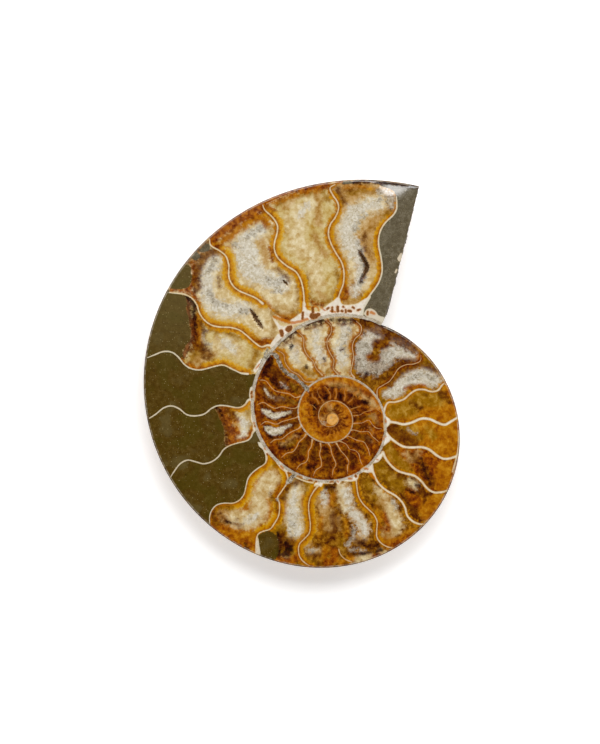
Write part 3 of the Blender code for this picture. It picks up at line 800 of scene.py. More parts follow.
        ("frost", 1, [(-9.2, -18.4), (-9.8, -21.4)]),
        ("frost", 2.2, [(-9.8, -23), (-9.4, -26), (-8.8, -28.4)]),
        ("grey", 0.9, [(-10.3, -25.8), (-9.5, -26.6)]), ("grey", 1, [(-10.8, -28), (-9.6, -29.4)]),
        ("umber", 1.5, [(-7.8, -15.4), (-10.8, -17), (-12.2, -20)]),
        ("amber", 1.1, [(-12, -21), (-12.2, -23.6), (-13.2, -25.6)]),
        ("amber", 1, [(-6.9, -21.8), (-7, -19.6)]), ("olive", 1.6, [(-4.9, -16.8), (-6.4, -17.4)]),
        ("umber", 2.6, [(-12.6, -29), (-12.6, -31.8), (-10.4, -31)]),
        ("amber", 0.7, [(-12.7, -29.4), (-12.6, -31.2)]),
        ("char", 1.8, [(-11.4, -31.4), (-10.4, -33.2), (-11.8, -34)]),
        ("rust", 1.7, [(-13.6, -35.2), (-10.6, -35.6), (-8.6, -34.8)]),
        ("amber", 0.8, [(-9.6, -30.4), (-9.3, -32.6)]), ("cream", 0.5, [(-11.9, -34.7), (-11.4, -35)]),
        ("char", 0.9, [(-13.4, -28.8), (-12.7, -31), (-13, -34.4)]),
        ("silt", 0, [(-18.4, -29.2), (-17, -28.3), (-14.8, -28.5), (-13.3, -30), (-13.1, -32),
                     (-13.7, -34.6), (-14.6, -35.6), (-18.2, -35)])]),
    11: ("agate", [
        ("frost", 1, [(-2.2, -18.8), (-1.5, -20.6)]),
        ("tan", 3.4, [(-2.6, -20.6), (-1.4, -23.4), (-0.4, -26.4)]),
        ("amber", 1.2, [(0.4, -19.2), (-0.2, -21.6)]),
        ("tan", 3, [(3.3, -17.4), (4.1, -20.4), (4.8, -23), (6.6, -24.8), (7.8, -26.6), (8.2, -28.8),
                    (7, -30.4)]),
        ("frost", 1.1, [(3.5, -18.2), (4.1, -20.4), (4.8, -23), (6.6, -24.8), (7.8, -26.6), (8.2, -28.6)]),
        ("cream", 1.2, [(2.4, -17.6), (2.8, -20.2), (3.2, -22.4)]),
        ("umber", 1.9, [(0.6, -24.4), (0.8, -27.6), (-0.4, -30.2)]),
        ("tan", 0.9, [(1.6, -25), (1.8, -27.4)]), ("grey", 0.9, [(5.4, -27), (5.6, -29), (4.2, -31.4)]),
        ("amber", 1.4, [(-4.2, -23.8), (-4.2, -28.2)]), ("amber", 0.9, [(-2.6, -24.8), (-3.2, -29.4)]),
        ("amber", 0.7, [(3.5, -25.6), (3.7, -29.4)]), ("olive", 1.2, [(2.6, -30.4), (2.4, -32.4)]),
        ("tan", 1.6, [(-6.2, -31.4), (-5.4, -33.2), (-3.4, -33.2)]),
        ("grey", 0.7, [(-6.2, -31.8), (-5.4, -33), (-3.8, -33)]),
        ("umber", 0.9, [(-5.6, -34.6), (-3.2, -34.2)]), ("char", 1, [(-1.4, -17), (0.6, -17.2)]),
        ("amber", 1.4, [(-1.4, -32.4), (-2, -35)]),
        ("rust", 1.5, [(0.8, -33.2), (0.7, -35.2), (-1.4, -36.2)]),
        ("olive", 1.2, [(-6.4, -35.4), (-4.2, -36.4)]),
        ("umber", 2, [(6.8, -30.9), (8.8, -31.6), (11.2, -31.4)]),
        ("char", 0.8, [(7.2, -31.3), (9, -31.8), (11.2, -31.8)]),
        ("grey", 0.9, [(5.2, -32.8), (8.2, -32.9)]),
        ("char", 0.6, [(5.6, -34), (9.2, -33.6), (12.4, -32.9)]), ("amber", 1.6, [(2.6, -35.8), (5, -35)]),
        ("cream", 0.9, [(6.6, -35.5), (9.4, -34.8)]), ("cream", 0.6, [(12.6, -33.8), (13.4, -33.5)]),
        ("rust", 0.7, [(10.6, -34.5), (12, -34.1)])]),
    12: ("agate", [
        ("olive", 2.4, [(9, -16.2), (11.4, -19.6), (13, -22.2)]),
        ("tan", 3.6, [(13.4, -20.6), (15, -23.2), (15.8, -26.2), (14.2, -28.6)]),
        ("cream", 1.5, [(14.8, -22.4), (15.2, -24.4), (16.4, -26.4)]),
        ("grey", 0.9, [(15.4, -20.6), (16.2, -22.6)]), ("cream", 0.9, [(11.6, -17.8), (13.2, -18.9)]),
        ("rust", 0.9, [(13, -23.9), (14.2, -27)]), ("rust", 0.8, [(12.5, -27.4), (14, -28)]),
        ("amber", 1.6, [(12.4, -30.6), (16.4, -30.4), (20.2, -28)]),
        ("amber", 1.1, [(11.2, -22.6), (12.4, -24.2), (12, -26)]),
        ("rust", 1.3, [(14, -32), (17, -30.9), (19.4, -29.4)]),
        ("cream", 0.6, [(17, -27), (16.2, -28.6)])]),
    13: ("umber", [
        ("olive", 3.4, [(11.6, -11.8), (13, -13.8), (15.4, -16.2), (17.6, -16.6)]),
        ("rust", 2.2, [(19.4, -18.6), (21.4, -21)]), ("char", 0.5, [(18.8, -17.8), (20.6, -18.8)]),
        ("amber", 4.6, [(26.6, -20.6), (24.2, -23.6)]), ("amber", 1.2, [(22.4, -20.4), (22.4, -22.4)]),
        ("cream", 0.9, [(19.9, -16.2), (20.5, -16.8)]), ("char", 0.6, [(21, -16.7), (22, -17)]),
        ("cream", 0.6, [(26.6, -23.4), (24, -26.2)])]),
    14: ("rust", [
        ("olive", 3, [(14, -7.2), (16.4, -10.6), (18.6, -12.4)]),
        ("umber", 2.4, [(21, -10), (22.8, -12), (24.6, -16)]),
        ("char", 0.5, [(22.6, -10.2), (23.2, -13), (24.8, -16.8)]),
        ("tan", 1.5, [(18.8, -9), (20.2, -10.2), (21.6, -8.8)]),
        ("amber", 4.2, [(28.4, -12.8), (27.6, -16.4)])]),
    15: ("amber", [
        ("umber", 3.4, [(15.2, -2.8), (17.4, -4.6), (20, -5.8)]),
        ("olive", 2.6, [(16.6, -2), (19.4, -2.6), (21.6, -4.4)]),
        ("grey", 0.7, [(19.4, -2.8), (20.8, -3.8)]), ("olive", 1.6, [(24, -2.4), (25.4, -4.6)])]),
    16: ("amber", [
        ("olive", 4.4, [(16, 1.6), (19.4, 2.6), (22.4, 4.8), (26, 4.8)]),
        ("umber", 1.8, [(27.4, 6.4), (29, 4.6)]), ("umber", 1.4, [(20, 4), (22, 2.6)])]),
    17: ("olive", [
        ("umber", 1.6, [(14.4, 8.4), (17, 11.2), (20.2, 12.8), (23, 13.4), (27.4, 11.4)]),
        ("tan", 2.2, [(26.4, 11.4), (28, 9.6)]),
        ("frost", 0, [(13.4, 6.2), (15, 8.2), (17.4, 10.4), (20.6, 12), (24.4, 12), (26.9, 9.7),
                      (25.6, 8.1), (22.6, 8.6), (19.6, 8.3), (17.8, 6.4), (15.6, 5.2), (14, 5.4)]),
        ("grey", 1.3, [(19.4, 10), (22.6, 10.8), (25.4, 9.8)]),
        ("rust", 0.8, [(18.8, 7.6), (20.6, 7.9), (23, 7.8)]), ("amber", 0.9, [(19.4, 7.3), (22.4, 7.6)])]),
    18: ("agate", [
        ("umber", 3.2, [(8.6, 24.2), (13.2, 21.6), (17.4, 19.6), (20.6, 17.6)]),
        ("char", 1.2, [(7.4, 24.9), (11, 24.2), (15.4, 22.2), (18.6, 20.4)]),
        ("frost", 2.4, [(11.4, 21.4), (9.4, 20), (8.2, 17.4)]),
        ("grey", 3.4, [(8, 17.6), (7.2, 15.2), (7.6, 12.6), (10.4, 13)]),
        ("frost", 0.6, [(7.6, 15.6), (8, 12.8)]),
        ("frost", 2.6, [(20.2, 16.1), (17.6, 17.2), (14.2, 15.6)]),
        ("grey", 3.4, [(14.2, 15.6), (12.6, 13.4), (11, 12.2)]), ("frost", 2, [(16.2, 18.8), (18.6, 17.8)]),
        ("grey", 1.2, [(15, 17.4), (17.8, 18.2), (19.6, 17)]), ("grey", 1.2, [(8, 13.6), (7.4, 16.2)]),
        ("grey", 1, [(11.6, 11.6), (13, 13.4)]), ("umber", 1.7, [(10.4, 15.2), (11.2, 14.8)]),
        ("rust", 0.9, [(9.4, 15.4), (11.4, 15)]), ("umber", 2.2, [(11.2, 18.8), (13, 18.6)]),
        ("rust", 0.9, [(11.4, 18.4), (13.6, 18.8)]), ("char", 0.9, [(8.5, 10), (8.8, 11.4)]),
        ("amber", 1, [(21, 17.9), (22.2, 16.4), (21.4, 15)]),
        ("umber", 1.4, [(14.6, 11.2), (17, 13.6), (20, 14.4)]),
        ("silt", 0, [(22.3, 17), (22.6, 15), (23.4, 13.6), (24.8, 13.6), (23.8, 16)])]),
    19: ("cream", [
        ("tan", 1.2, [(5.6, 22), (4.2, 18.6), (4.6, 15)]),
        ("frost", 1.6, [(3.4, 22.8), (3.2, 20.6), (2, 17.6), (2.8, 14)]),
        ("grey", 0.8, [(4.6, 22.6), (3, 18.4), (3.6, 15.8)]), ("char", 1, [(0, 24.6), (6, 24.6)]),
        ("char", 0.5, [(3.2, 17.6), (2.4, 17)]), ("umber", 0.8, [(1.6, 23.6), (5, 23.6)]),
        ("olive", 1.2, [(3.6, 12.2), (3.8, 11)])]),
    20: ("cream", [
        ("frost", 1.2, [(-3.6, 21.8), (-4, 18.6), (-2.6, 15)]),
        ("tan", 1.5, [(-2.2, 18), (-2.4, 15.6), (-1.4, 13.2)]),
        ("char", 1.1, [(-8, 22.9), (-4, 24.2), (-1.6, 24.6)]), ("umber", 0.9, [(-6.4, 22.3), (-2.6, 23.4)]),
        ("char", 0.5, [(-1.9, 14.9), (-1.7, 14.4)]), ("olive", 1.4, [(-1.4, 12), (-0.8, 11.2)])]),
    21: ("cream", [
        ("frost", 0.8, [(-9.6, 17.6), (-9, 14.8)]), ("tan", 1.5, [(-8.4, 19.6), (-9, 16.4)]),
        ("char", 1.2, [(-13.6, 18.6), (-11, 20.6), (-8.4, 22)]), ("umber", 1, [(-12, 18.6), (-9.6, 20.2)]),
        ("char", 0.6, [(-9.9, 18.3), (-10.4, 17.4)]), ("olive", 2, [(-6.8, 12), (-4.6, 11), (-3.4, 10.6)]),
        ("char", 0.5, [(-6.4, 13.2), (-6.2, 12.5)])]),
    22: ("tan", [
        ("olive", 1, [(-13.4, 16.4), (-11.8, 12.8), (-8.6, 10.4)]),
        ("char", 0.7, [(-14.8, 17.6), (-13.2, 17.2)])]),
    23: ("garnet", [
        ("char", 2, [(-15.6, 14.6), (-16.4, 12)]), ("amber", 1, [(-14.4, 14), (-13.4, 13.2)]),
        ("umber", 2.4, [(-14.4, 11.6), (-12.6, 9.4)]), ("char", 1.3, [(-14.8, 9.6), (-12.8, 7.8)]),
        ("grey", 0.5, [(-12.9, 9.2), (-11.4, 7.7)]),
        ("milk", 0.25, [(-12.9, 9.2), (-12.2, 8.4), (-12.6, 7.9)]),
        ("olive", 0.8, [(-10.2, 8.6), (-8.8, 7)])]),
    24: ("garnet", [
        ("umber", 1.9, [(-16.8, 6.9), (-15.6, 5.4), (-13.6, 4.6), (-10.6, 4.6)]),
        ("tan", 0.7, [(-16.6, 7.2), (-15.6, 5.6), (-13.6, 4.8), (-11.6, 4.8)]),
        ("milk", 0.3, [(-16.7, 7.1), (-15.6, 5.6), (-14.4, 5)]), ("grey", 0.6, [(-14, 4.6), (-12.2, 5)]),
        ("olive", 1, [(-12, 5.2), (-9.6, 4.2)]), ("rust", 0.8, [(-18.4, 8.2), (-17.6, 4.8)])]),
    25: ("garnet", [
        ("umber", 2, [(-13, 1), (-11, 1.4), (-9, 1.6)]),
        ("milk", 0, [(-17.7, 2.5), (-15.8, 2.1), (-14.6, 1.4), (-12.7, 1.5), (-9.8, 1.8), (-11.9, 0.6),
                     (-13.5, -0.1), (-15, 0), (-17, 1.2)]),
        ("char", 0.5, [(-17.8, 3.2), (-16, 2.8), (-14.4, 1.7)]),
        ("rust", 0.8, [(-18.4, 3), (-18.3, -0.6)])]),
    26: ("garnet", [
        ("umber", 2, [(-12.4, -2.2), (-10.4, -1.4), (-9, -1)]),
        ("milk", 0, [(-16.9, -2), (-15.4, -2), (-14.3, -2.6), (-12, -2), (-10, -1.5), (-11.9, -3.1),
                     (-12.7, -4), (-14.6, -4.1), (-16.2, -3.5)]),
        ("char", 0.5, [(-16.6, -3.6), (-14.6, -5)]), ("rust", 0.8, [(-18.2, -2.4), (-16.2, -5.4)])]),
    27: ("garnet", [
        ("tan", 0.9, [(-12.4, -6.4), (-10.6, -5.2), (-9, -4.2)]),
        ("char", 0.6, [(-13.2, -7.6), (-11.8, -7.2)]), ("rust", 1.1, [(-14.6, -7), (-12.2, -9)]),
        ("olive", 0.9, [(-10.6, -6.6), (-9, -5.6)])]),
    28: ("garnet", [
        ("umber", 2.2, [(-9.6, -9.4), (-7.6, -7), (-6.6, -5.8)]),
        ("char", 0.6, [(-10, -10.4), (-8.6, -9.4)]), ("olive", 0.8, [(-7.2, -8.2), (-6.6, -6.4)]),
        ("amber", 0.8, [(-11.2, -10.8), (-9.8, -11.8)])]),
    29: ("garnet", [
        ("umber", 1.6, [(-4.4, -9.8), (-3.9, -7)]), ("char", 0.6, [(-6, -12.4), (-4.6, -12.2)]),
        ("grey", 0.5, [(-6.8, -8.2), (-6.6, -9.6)]), ("amber", 1, [(-7.6, -12.8), (-5.8, -13.8)])]),
    30: ("garnet", [
        ("char", 0.7, [(-1.4, -8.6), (-1.3, -7.2)]), ("umber", 1.2, [(-1, -12.4), (-1.4, -9)]),
        ("amber", 0.9, [(-3.4, -14.4), (-1.2, -13.8)])]),
    31: ("garnet", [
        ("char", 0.8, [(2, -9.2), (1.3, -7.4)]), ("umber", 1.2, [(2.6, -12.4), (1.8, -9.6)]),
        ("amber", 0.9, [(1.2, -14.4), (3.2, -13.6)])]),
    32: ("garnet", [
        ("umber", 1.2, [(5.4, -11.2), (4.2, -8.8)]), ("rust", 1.8, [(5, -13.4), (7.2, -12.2)]),
        ("amber", 0.5, [(4.6, -10.4), (4.9, -9.8)])]),
    33: ("garnet", [
        ("rust", 1.6, [(9, -10.6), (7.6, -10.2)]), ("amber", 0.4, [(7.6, -8.6), (7.2, -8.2)]),
        ("umber", 0.9, [(6.8, -7.2), (5.2, -6.6)])]),
    34: ("garnet", [
        ("rust", 1.4, [(11, -7.6), (10.2, -6.8)]), ("umber", 2, [(9.2, -5.6), (6, -4.2)]),
        ("tan", 0.5, [(10, -6), (9.2, -5)])]),
    35: ("garnet", [
        ("rust", 1.6, [(12.2, -4.4), (11, -3.4)]), ("umber", 1, [(7.8, -2.2), (6, -2)]),
        ("tan", 0.7, [(10.6, -3.6), (9.8, -2.6)])]),
    36: ("garnet", [
        ("rust", 1.3, [(12.4, -1), (12, 0.8)]), ("umber", 1.2, [(8.4, 0.2), (6.4, -0.2)]),
        ("tan", 1.3, [(11.4, -0.6), (10.2, 0.8)])]),
}

# The glassy third whorl and the first chambers
core = [
    ("garnet", 3.2, [(-4.6, 4.8), (-2.6, 6), (-0.4, 6.2), (1.8, 5.9), (4, 5), (5.8, 3.6), (7.6, 2.6)]),
    ("char", 0.7, [(-1.5, 5), (-1.3, 6.4)]), ("char", 0.6, [(2.2, 4.9), (2.3, 6.2)]),
    ("char", 0.6, [(-3.6, 3.8), (-4.3, 2.6), (-4.1, 1)]), ("char", 0.9, [(7.8, 4.1), (8.9, 3.9)]),
    ("char", 0.5, [(5, 3), (5.8, 2.6)]), ("umber", 1.4, [(6.4, 4.4), (5, 5.8)]),
    ("rust", 0.9, [(8, 7), (9.4, 5.9)]), ("rust", 1, [(-3, 7.6), (-1.4, 7.9)]),
    ("tan", 1.6, [(-0.4, 8.4), (1.8, 8.4), (4.4, 7.6), (7, 6.2), (9.6, 4.4), (10.8, 3)]),
    ("umber", 0.8, [(1.6, 8.2), (2.6, 7.6)]), ("umber", 0.8, [(5.6, 6.4), (6.2, 7)]),
    ("umber", 0.7, [(8.6, 4.6), (9.4, 5.2)]),
    ("amber", 0.8, [(-5.6, 7.8), (-3.2, 9.4), (0, 10.1), (3.4, 9.4), (6.2, 8.1)]),
    ("amber", 1.2, [(-7.2, 2.6), (-6.9, 0.2), (-6, -2.4), (-3.4, -4.9), (-0.6, -5.4), (2, -4.9),
                    (3.6, -3.4)]),
    ("rust", 1.2, [(-5.3, 4.4), (-4.9, 1.6), (-4.1, -1.4), (-2.2, -3.6)]),
    ("umber", 1, [(-1.8, 2.9), (-2.5, 1.6), (-2.2, 0.8)]), ("umber", 0.8, [(1, 3.2), (2.2, 2.4)]),
    ("tan", 1, [(-1.3, 3.3), (-0.8, 2.8)]), ("tan", 0.6, [(-0.9, 2.9), (-0.3, 2.2), (0, 1.5)]),
    ("tan", 0, [(-2.8, 0.3), (-2, 0.5), (-1.3, 0.2), (-1.4, -0.9), (-2.1, -1.3), (-2.7, -0.7)]),
    ("grey", 0.6, [(-2, -0.6), (-1.7, -0.9)]), ("pearl", 2.7, [(0.1, -0.3), (0.25, -0.2)]),
]

# Stains and slivers along the venter, over whatever fills the chamber
rimBands = [
    ("slate", 0.8, [(2.9, 58.9), (5.4, 59.1)]), ("char", 1.4, [(5.8, 59.3), (10, 59.3), (13.4, 59.1)]),
    ("char", 1.2, [(13.4, 59.1), (17.2, 58.7), (21.6, 58)]), ("rust", 0.6, [(0.6, 59.1), (2.8, 59)]),
    ("slate", 0, [(16.4, 55.3), (15.7, 56.6), (14.2, 57.5), (12.4, 58.2), (11.8, 59.6), (17.4, 60),
                  (17.4, 55)]),
]

# White shell where septa stand on the umbilical wall, and the fragments in it: (stain, width, line),
# with width 0 for an outline
feet = [
    (0.55, 0, [(8, 26.1), (8.6, 27.1), (9.5, 27.5), (10.5, 27.2), (11.2, 26.6), (11.5, 26), (12.3, 25.5),
               (13.3, 25.2), (13.2, 23.8), (10, 24.4)]),
    (0.1, 0, [(7.4, 29.4), (6.4, 28.8), (5, 28.5), (3.2, 28.4), (2.4, 29), (2, 30.2), (1.3, 30.2),
              (0.6, 29.5), (-0.8, 28.6), (-1.8, 27.8), (-2.8, 27.2), (-3.4, 25.6), (0, 25.3), (5, 25.3),
              (7.6, 25), (8.2, 27.4), (9, 28.8), (9.9, 30.6), (8.8, 30.2)]),
    (0.05, 0, [(-7.2, 29.2), (-7.4, 26.8), (-8.3, 26), (-9.2, 25.3), (-10.4, 24.4), (-9.7, 23.2),
               (-6, 24.4), (-3, 25), (-2.6, 26.6), (-4, 26.8), (-5.5, 27), (-6.3, 27.4), (-6.5, 29)]),
    (0.1, 0, [(-15, 25.7), (-14.3, 24), (-13.6, 22.8), (-13.2, 21.6), (-12.6, 20.4), (-11.6, 20.6),
              (-10.2, 21.9), (-9.4, 23), (-10.5, 23.6), (-11.5, 23.2), (-12.4, 23.2), (-13.2, 23.9),
              (-14.2, 25)]),
    (0.1, 0, [(-13.5, 21.4), (-12.6, 21), (-12.4, 19.9), (-14.9, 17.5), (-15.4, 18.3), (-14.4, 19.9)]),
    (0.1, 0, [(-19.7, 12), (-18.7, 13.7), (-17.5, 15.2), (-17.1, 14.3), (-18.4, 12), (-19.2, 11.2)]),
    (0.15, 0, [(-20.4, 4.3), (-20.6, 6.2), (-20.2, 7.9), (-19.3, 7.4), (-19.2, 4.3)]),
    (0.15, 0, [(-20.2, 1.1), (-20.2, -0.6), (-19.7, -1.4), (-19.7, -2.9), (-18.8, -2.8), (-19.1, 0.9)]),
    (0.15, 0, [(-18.5, -5.9), (-18.1, -7), (-17.1, -7.9), (-16.4, -9.5), (-15.6, -8.4), (-17, -6.3)]),
    (0.3, 0.9, [(-13.4, -11), (-12.3, -12.3), (-11.2, -13.1)]),
    (0.3, 0.4, [(-8.8, -14.8), (-6.6, -15.7), (-4.6, -16.1)]),
    (0.1, 0, [(-4.5, -17.1), (-3.6, -16.7), (-2.6, -17.2), (-2.1, -16), (-3, -15.7), (-4.1, -16.1)]),
    (0.3, 0.4, [(-2.6, -16.1), (0.4, -16.2)]),
    (0.15, 0, [(0.9, -15.5), (1.3, -16.4), (1.9, -16.6), (2.4, -15.4)]),
    (0.05, 0, [(7.1, -13.2), (6.5, -15.2), (5.2, -15.8), (4, -15.8), (2.7, -15.6), (4.6, -14.5)]),
    (0.05, 0, [(10.2, -11.1), (10.5, -13.2), (9.3, -13.7), (8, -13.4), (7.1, -12.9), (8.6, -11.8)]),
    (0.1, 0, [(13.1, -8.1), (12.7, -9.6), (11.9, -10.7), (10.6, -11.3), (9.9, -11), (11.4, -9.5)]),
    (0.1, 0, [(12.9, -4.1), (13.9, -4.2), (14.8, -5.3), (13.6, -6.5), (12.5, -7.2), (12.7, -5.6)]),
    (0.1, 0, [(12.8, 1.8), (13.4, 0.7), (14.8, -0.4), (14.6, -1.5), (13.7, -2.4), (13.1, -3.4),
              (12.9, -1)]),
    (0.55, 0, [(-18.9, -29.8), (-18.4, -29.6), (-18.1, -31.6), (-17.8, -33.4), (-17.9, -34.4), (-19, -34.2),
               (-19.1, -31.8)]),
    (0.7, 0, [(16.4, 40), (17.3, 41.4), (17.8, 41), (17, 39)]), (0.7, 0.5, [(16, 36.5), (16.3, 37.2)]),
    (0.4, 0.35, [(31.75, -3), (31.75, -6), (31.35, -9.2), (30.2, -13.4)]),
    (0.9, 0.2, [(-16.4, 53.5), (-12.4, 55.4), (-8.4, 56.9)]),
]

# Worn, greyish shell, then the small cells between the feet: (width, line)
greyShell = [
    (0.95, [(-16.4, 15.2), (-15, 16.2), (-13.7, 15.3), (-12.9, 13.4), (-11.8, 11.9), (-10.4, 10.9),
            (-9.2, 10.3), (-7.8, 9.1), (-7, 8.2), (-6, 7.3)]),
    (0, [(-9.7, -13.8), (-8.7, -14.2), (-10.6, -16.5), (-11.4, -16.5), (-10.9, -15.2)]),
    (0, [(-13.1, -19.9), (-13.9, -19.9), (-13.4, -20.8)]), (0.45, [(-16, 17.2), (-18, 13.4)]),
]

brownCells = [
    (0.4, [(9.1, 26.6), (9, 26.1)]), (0.42, [(-1.1, 27.4), (-0.8, 27.6)]),
    (0.42, [(0.2, 27.7), (0.2, 26.7)]), (0.5, [(1.5, 27.8), (1.6, 26.8)]),
    (0.42, [(2.5, 26.9), (2.7, 26.8)]), (0.34, [(2.9, 27.9), (3.1, 27.8)]),
    (0.42, [(3.5, 27.1), (3.6, 26.6)]), (0.5, [(4.2, 26.9), (4.8, 26.8)]),
    (0.4, [(5.3, 27.8), (5.6, 27.6)]), (0.42, [(6.5, 27), (7.1, 27.3)]),
    (0.45, [(-4.7, 27.6), (-4.6, 26.4)]), (0.45, [(-7.2, 26.5), (-7.3, 24.9)]),
    (0, [(-5.5, 25.7), (-5.1, 26.3), (-4.2, 26.1), (-3.2, 26.4), (-2.9, 25.9), (-3.6, 25.2), (-4.4, 24.9),
         (-5.3, 25)]),
    (0, [(-11.5, 22.2), (-11.1, 22.9), (-10.2, 23.3), (-9.8, 22.9), (-10, 22.1), (-10.8, 21.5)]),
    (0, [(-13.1, 21.9), (-12.4, 22.3), (-12, 21), (-12.4, 20.3), (-12.8, 20.9)]),
    (0.4, [(-20, 5.2), (-20, 5.6)]), (0.35, [(-20.1, 6.2), (-20, 6.6)]),
    (0.3, [(-19.2, -1.8), (-19.1, -2.1)]), (0.3, [(-10.9, -13.7), (-10.3, -13.8)]),
    (0.3, [(-5.6, -15.5), (-4.9, -15.6)]), (0.26, [(-4.1, -15.8), (-3.7, -15.8)]),
    (0.26, [(-0.4, -15.9), (0.2, -15.9)]), (0.26, [(6.1, -14.6), (5.9, -14.2)]),
    (0.2, [(-8.4, -14.4), (-7.4, -14.8)]), (0.2, [(-16.2, -8.9), (-16, -9.2)]),
]

orangeCells = [
    (0.7, [(9.8, 26.5), (10.6, 26.2)]), (0.35, [(-2.7, 27.8), (-1.6, 26.9)]),
    (0.3, [(-0.3, 26.8), (0.9, 26.6)]), (0.35, [(-4.7, 27.4), (-4.2, 28), (-3.4, 27.7), (-3.2, 27)]),
    (0.3, [(-6.3, 28), (-5.2, 27.8)]),
    (0.6, [(-14.4, 25.4), (-13, 24.9), (-11.5, 24.3), (-10, 23.9), (-8, 24.2), (-6, 24.8)]),
    (0.3, [(-19.4, -1.1), (-19.3, -1.4)]), (0.35, [(-16.8, -7.4), (-16.6, -7.7)]),
    (0.4, [(4.3, -15), (5.1, -15.1)]), (0.5, [(8.4, -12.5), (9, -12.7)]),
    (0.3, [(11.2, -10.2), (11.6, -10.4)]), (0.35, [(13, -5.4), (13.1, -5)]),
    (0.3, [(13.4, -4.7), (13.6, -4.6)]), (0.35, [(13.6, -0.9), (13.5, -0.4)]),
    (0.3, [(-12.7, -11.9), (-12.1, -12.6)]), (0.25, [(1.4, -15.7), (1.7, -15.9)]),
    (0.5, [(9.6, -13.8), (10.8, -15.2)]), (0.3, [(-18.9, 12.4), (-18, 13.6)]),
]

# The pattern, worked out for every point of the face and carried by it
pattern = {
    "bandWidth": 0.80,          # mm, the umbilical wall as it is cut
    "bandThinning": 0.44,       # how much thinner it gets with each whorl
    "reach": 16.0,              # mm over which a septum's nearness is worked out
    "neighbours": 70.0,         # degrees of the spiral within which a septum counts
    "innerFlare": (0.12, 0.06),         # mm that a septum thickens at the umbilical wall, over this share
    "outerTaper": (0.06, 0.05),         # and thins at the venter
    "bodyUntil": 200.0,         # spiral angle up to which stone without a septum is the body chamber
    "coreFrom": 790.0,          # spiral angle where the glassy core starts
    "coreLines": 24.0,          # septa per turn in the core, too fine to draw singly
    "coreLineBend": 7.0,        # degrees by which they lag halfway across the whorl
    "spurStain": 0.9,
    "growthPerRadian": 30,      # mm of noise that the growth lines cross
    "faceDepth": -4.0,          # points above this count as the face
}


def fieldOf(points, width, route):    # mm inside a band's or an outline's edge
    if width:
        line = smoothRoute(route, 0.5) if len(route) > 2 else np.array(route, float)
        return width / 2 - measure(points, line)[0]
    outline = smoothRoute(route + route[:1], 0.5)
    return measure(points, closed(outline))[0] * np.where(inside(points, outline), 1, -1)


def layOn(field, points, where, width, route, reach=3.0):
    shape = np.array(route, float)
    margin = width / 2 + reach
    near = np.flatnonzero(where & nearBox(points, shape.min(0) - margin, shape.max(0) + margin))
    if len(near):
        field[near] = np.maximum(field[near], fieldOf(points[near], width, route))


def readSepta(points, angle):    # the nearest septum to each point, and where on it the point stands
    size = len(points)
    read = {"nearest": np.full(size, 50.0), "owner": np.full(size, -1), "side": np.ones(size),
            "place": np.zeros(size), "length": np.zeros(size), "shellEdge": np.full(size, -3.0)}
    (flare, flareShare), (taper, taperShare) = pattern["innerFlare"], pattern["outerTaper"]
    for number, septum in enumerate(septa):
        route = smoothRoute(septum["route"], 0.5)
        middle = spiralAngle(route[len(route) // 2][None])[0]
        box = nearBox(points, route.min(0) - pattern["reach"], route.max(0) + pattern["reach"])
        near = np.flatnonzero(box & (abs(angle - middle) < pattern["neighbours"]))
        away, side, place = measure(points[near], route)
        if septum["width"]:
            extra = flare * np.exp(-((1 - place) / flareShare) ** 2)
            extra = extra - taper * np.exp(-(place / taperShare) ** 2)
            edge = septum["width"] / 2 + extra - away
            read["shellEdge"][near] = np.maximum(read["shellEdge"][near], edge)
        closer = away < read["nearest"][near]
        pick = near[closer]
        read["nearest"][pick] = away[closer]
        read["owner"][pick] = number
        read["side"][pick] = side[closer]
        read["place"][pick] = place[closer]
        read["length"][pick] = len(route) * 0.5
    return read


def readLining(read, chamber):    # mm inside the amber lining's edge, and how far it is stained
    lining = np.full(len(chamber), -3.0)
    stain = np.zeros(len(chamber))
    for number, septum in enumerate(septa):
        for wanted, widths in zip((1, -1), septum["gold"]):
            here = (read["owner"] == number) & (read["side"] == wanted) & (chamber >= 0)
            width = np.interp(read["place"][here], np.linspace(0, 1, len(widths)), widths)
            lining[here] = np.where(width > 0.15, width * 1.4 + 0.1, width) - read["nearest"][here]
        stain[read["owner"] == number] = septum["rust"]
    return lining, stain


def layMinerals(fields, points, chamber):
    everywhere = np.ones(len(points), bool)
    fields["ground"] = np.zeros(len(points))
    for mineral in underLining + overLining:
        fields[mineral] = np.full(len(points), -4.0)
    for number, (ground, fills) in chambers.items():
        here = chamber == number
        fields["ground"][here] = grounds.index(ground)
        if ground in settled:
            fields[ground][here] = 4.0
        for mineral, width, route in fills:
            layOn(fields[mineral], points, here, width, route)
    fields["ground"][chamber == -1] = grounds.index("glass")
    for where, fills in ((chamber == -1, core), (everywhere, rimBands)):
        for mineral, width, route in fills:
            layOn(fields[mineral], points, where, width, route)


def layShell(fields, points):    # the feet of the septa, the spurs and the small cells
    everywhere = np.ones(len(points), bool)
    for amount, width, route in feet + [(pattern["spurStain"], width, route) for width, route in spurs]:
        before = fields["shellEdge"].copy()
        layOn(fields["shellEdge"], points, everywhere, width, route, 1.0)
        fields["stain"][(fields["shellEdge"] > before) & (fields["shellEdge"] > -0.3)] = amount
    for name, marks in (("greyShell", greyShell), ("brownCell", brownCells), ("orangeCell", orangeCells)):
        fields[name] = np.full(len(points), -3.0)
        for width, route in marks:
            layOn(fields[name], points, everywhere, width, route, 1.0)


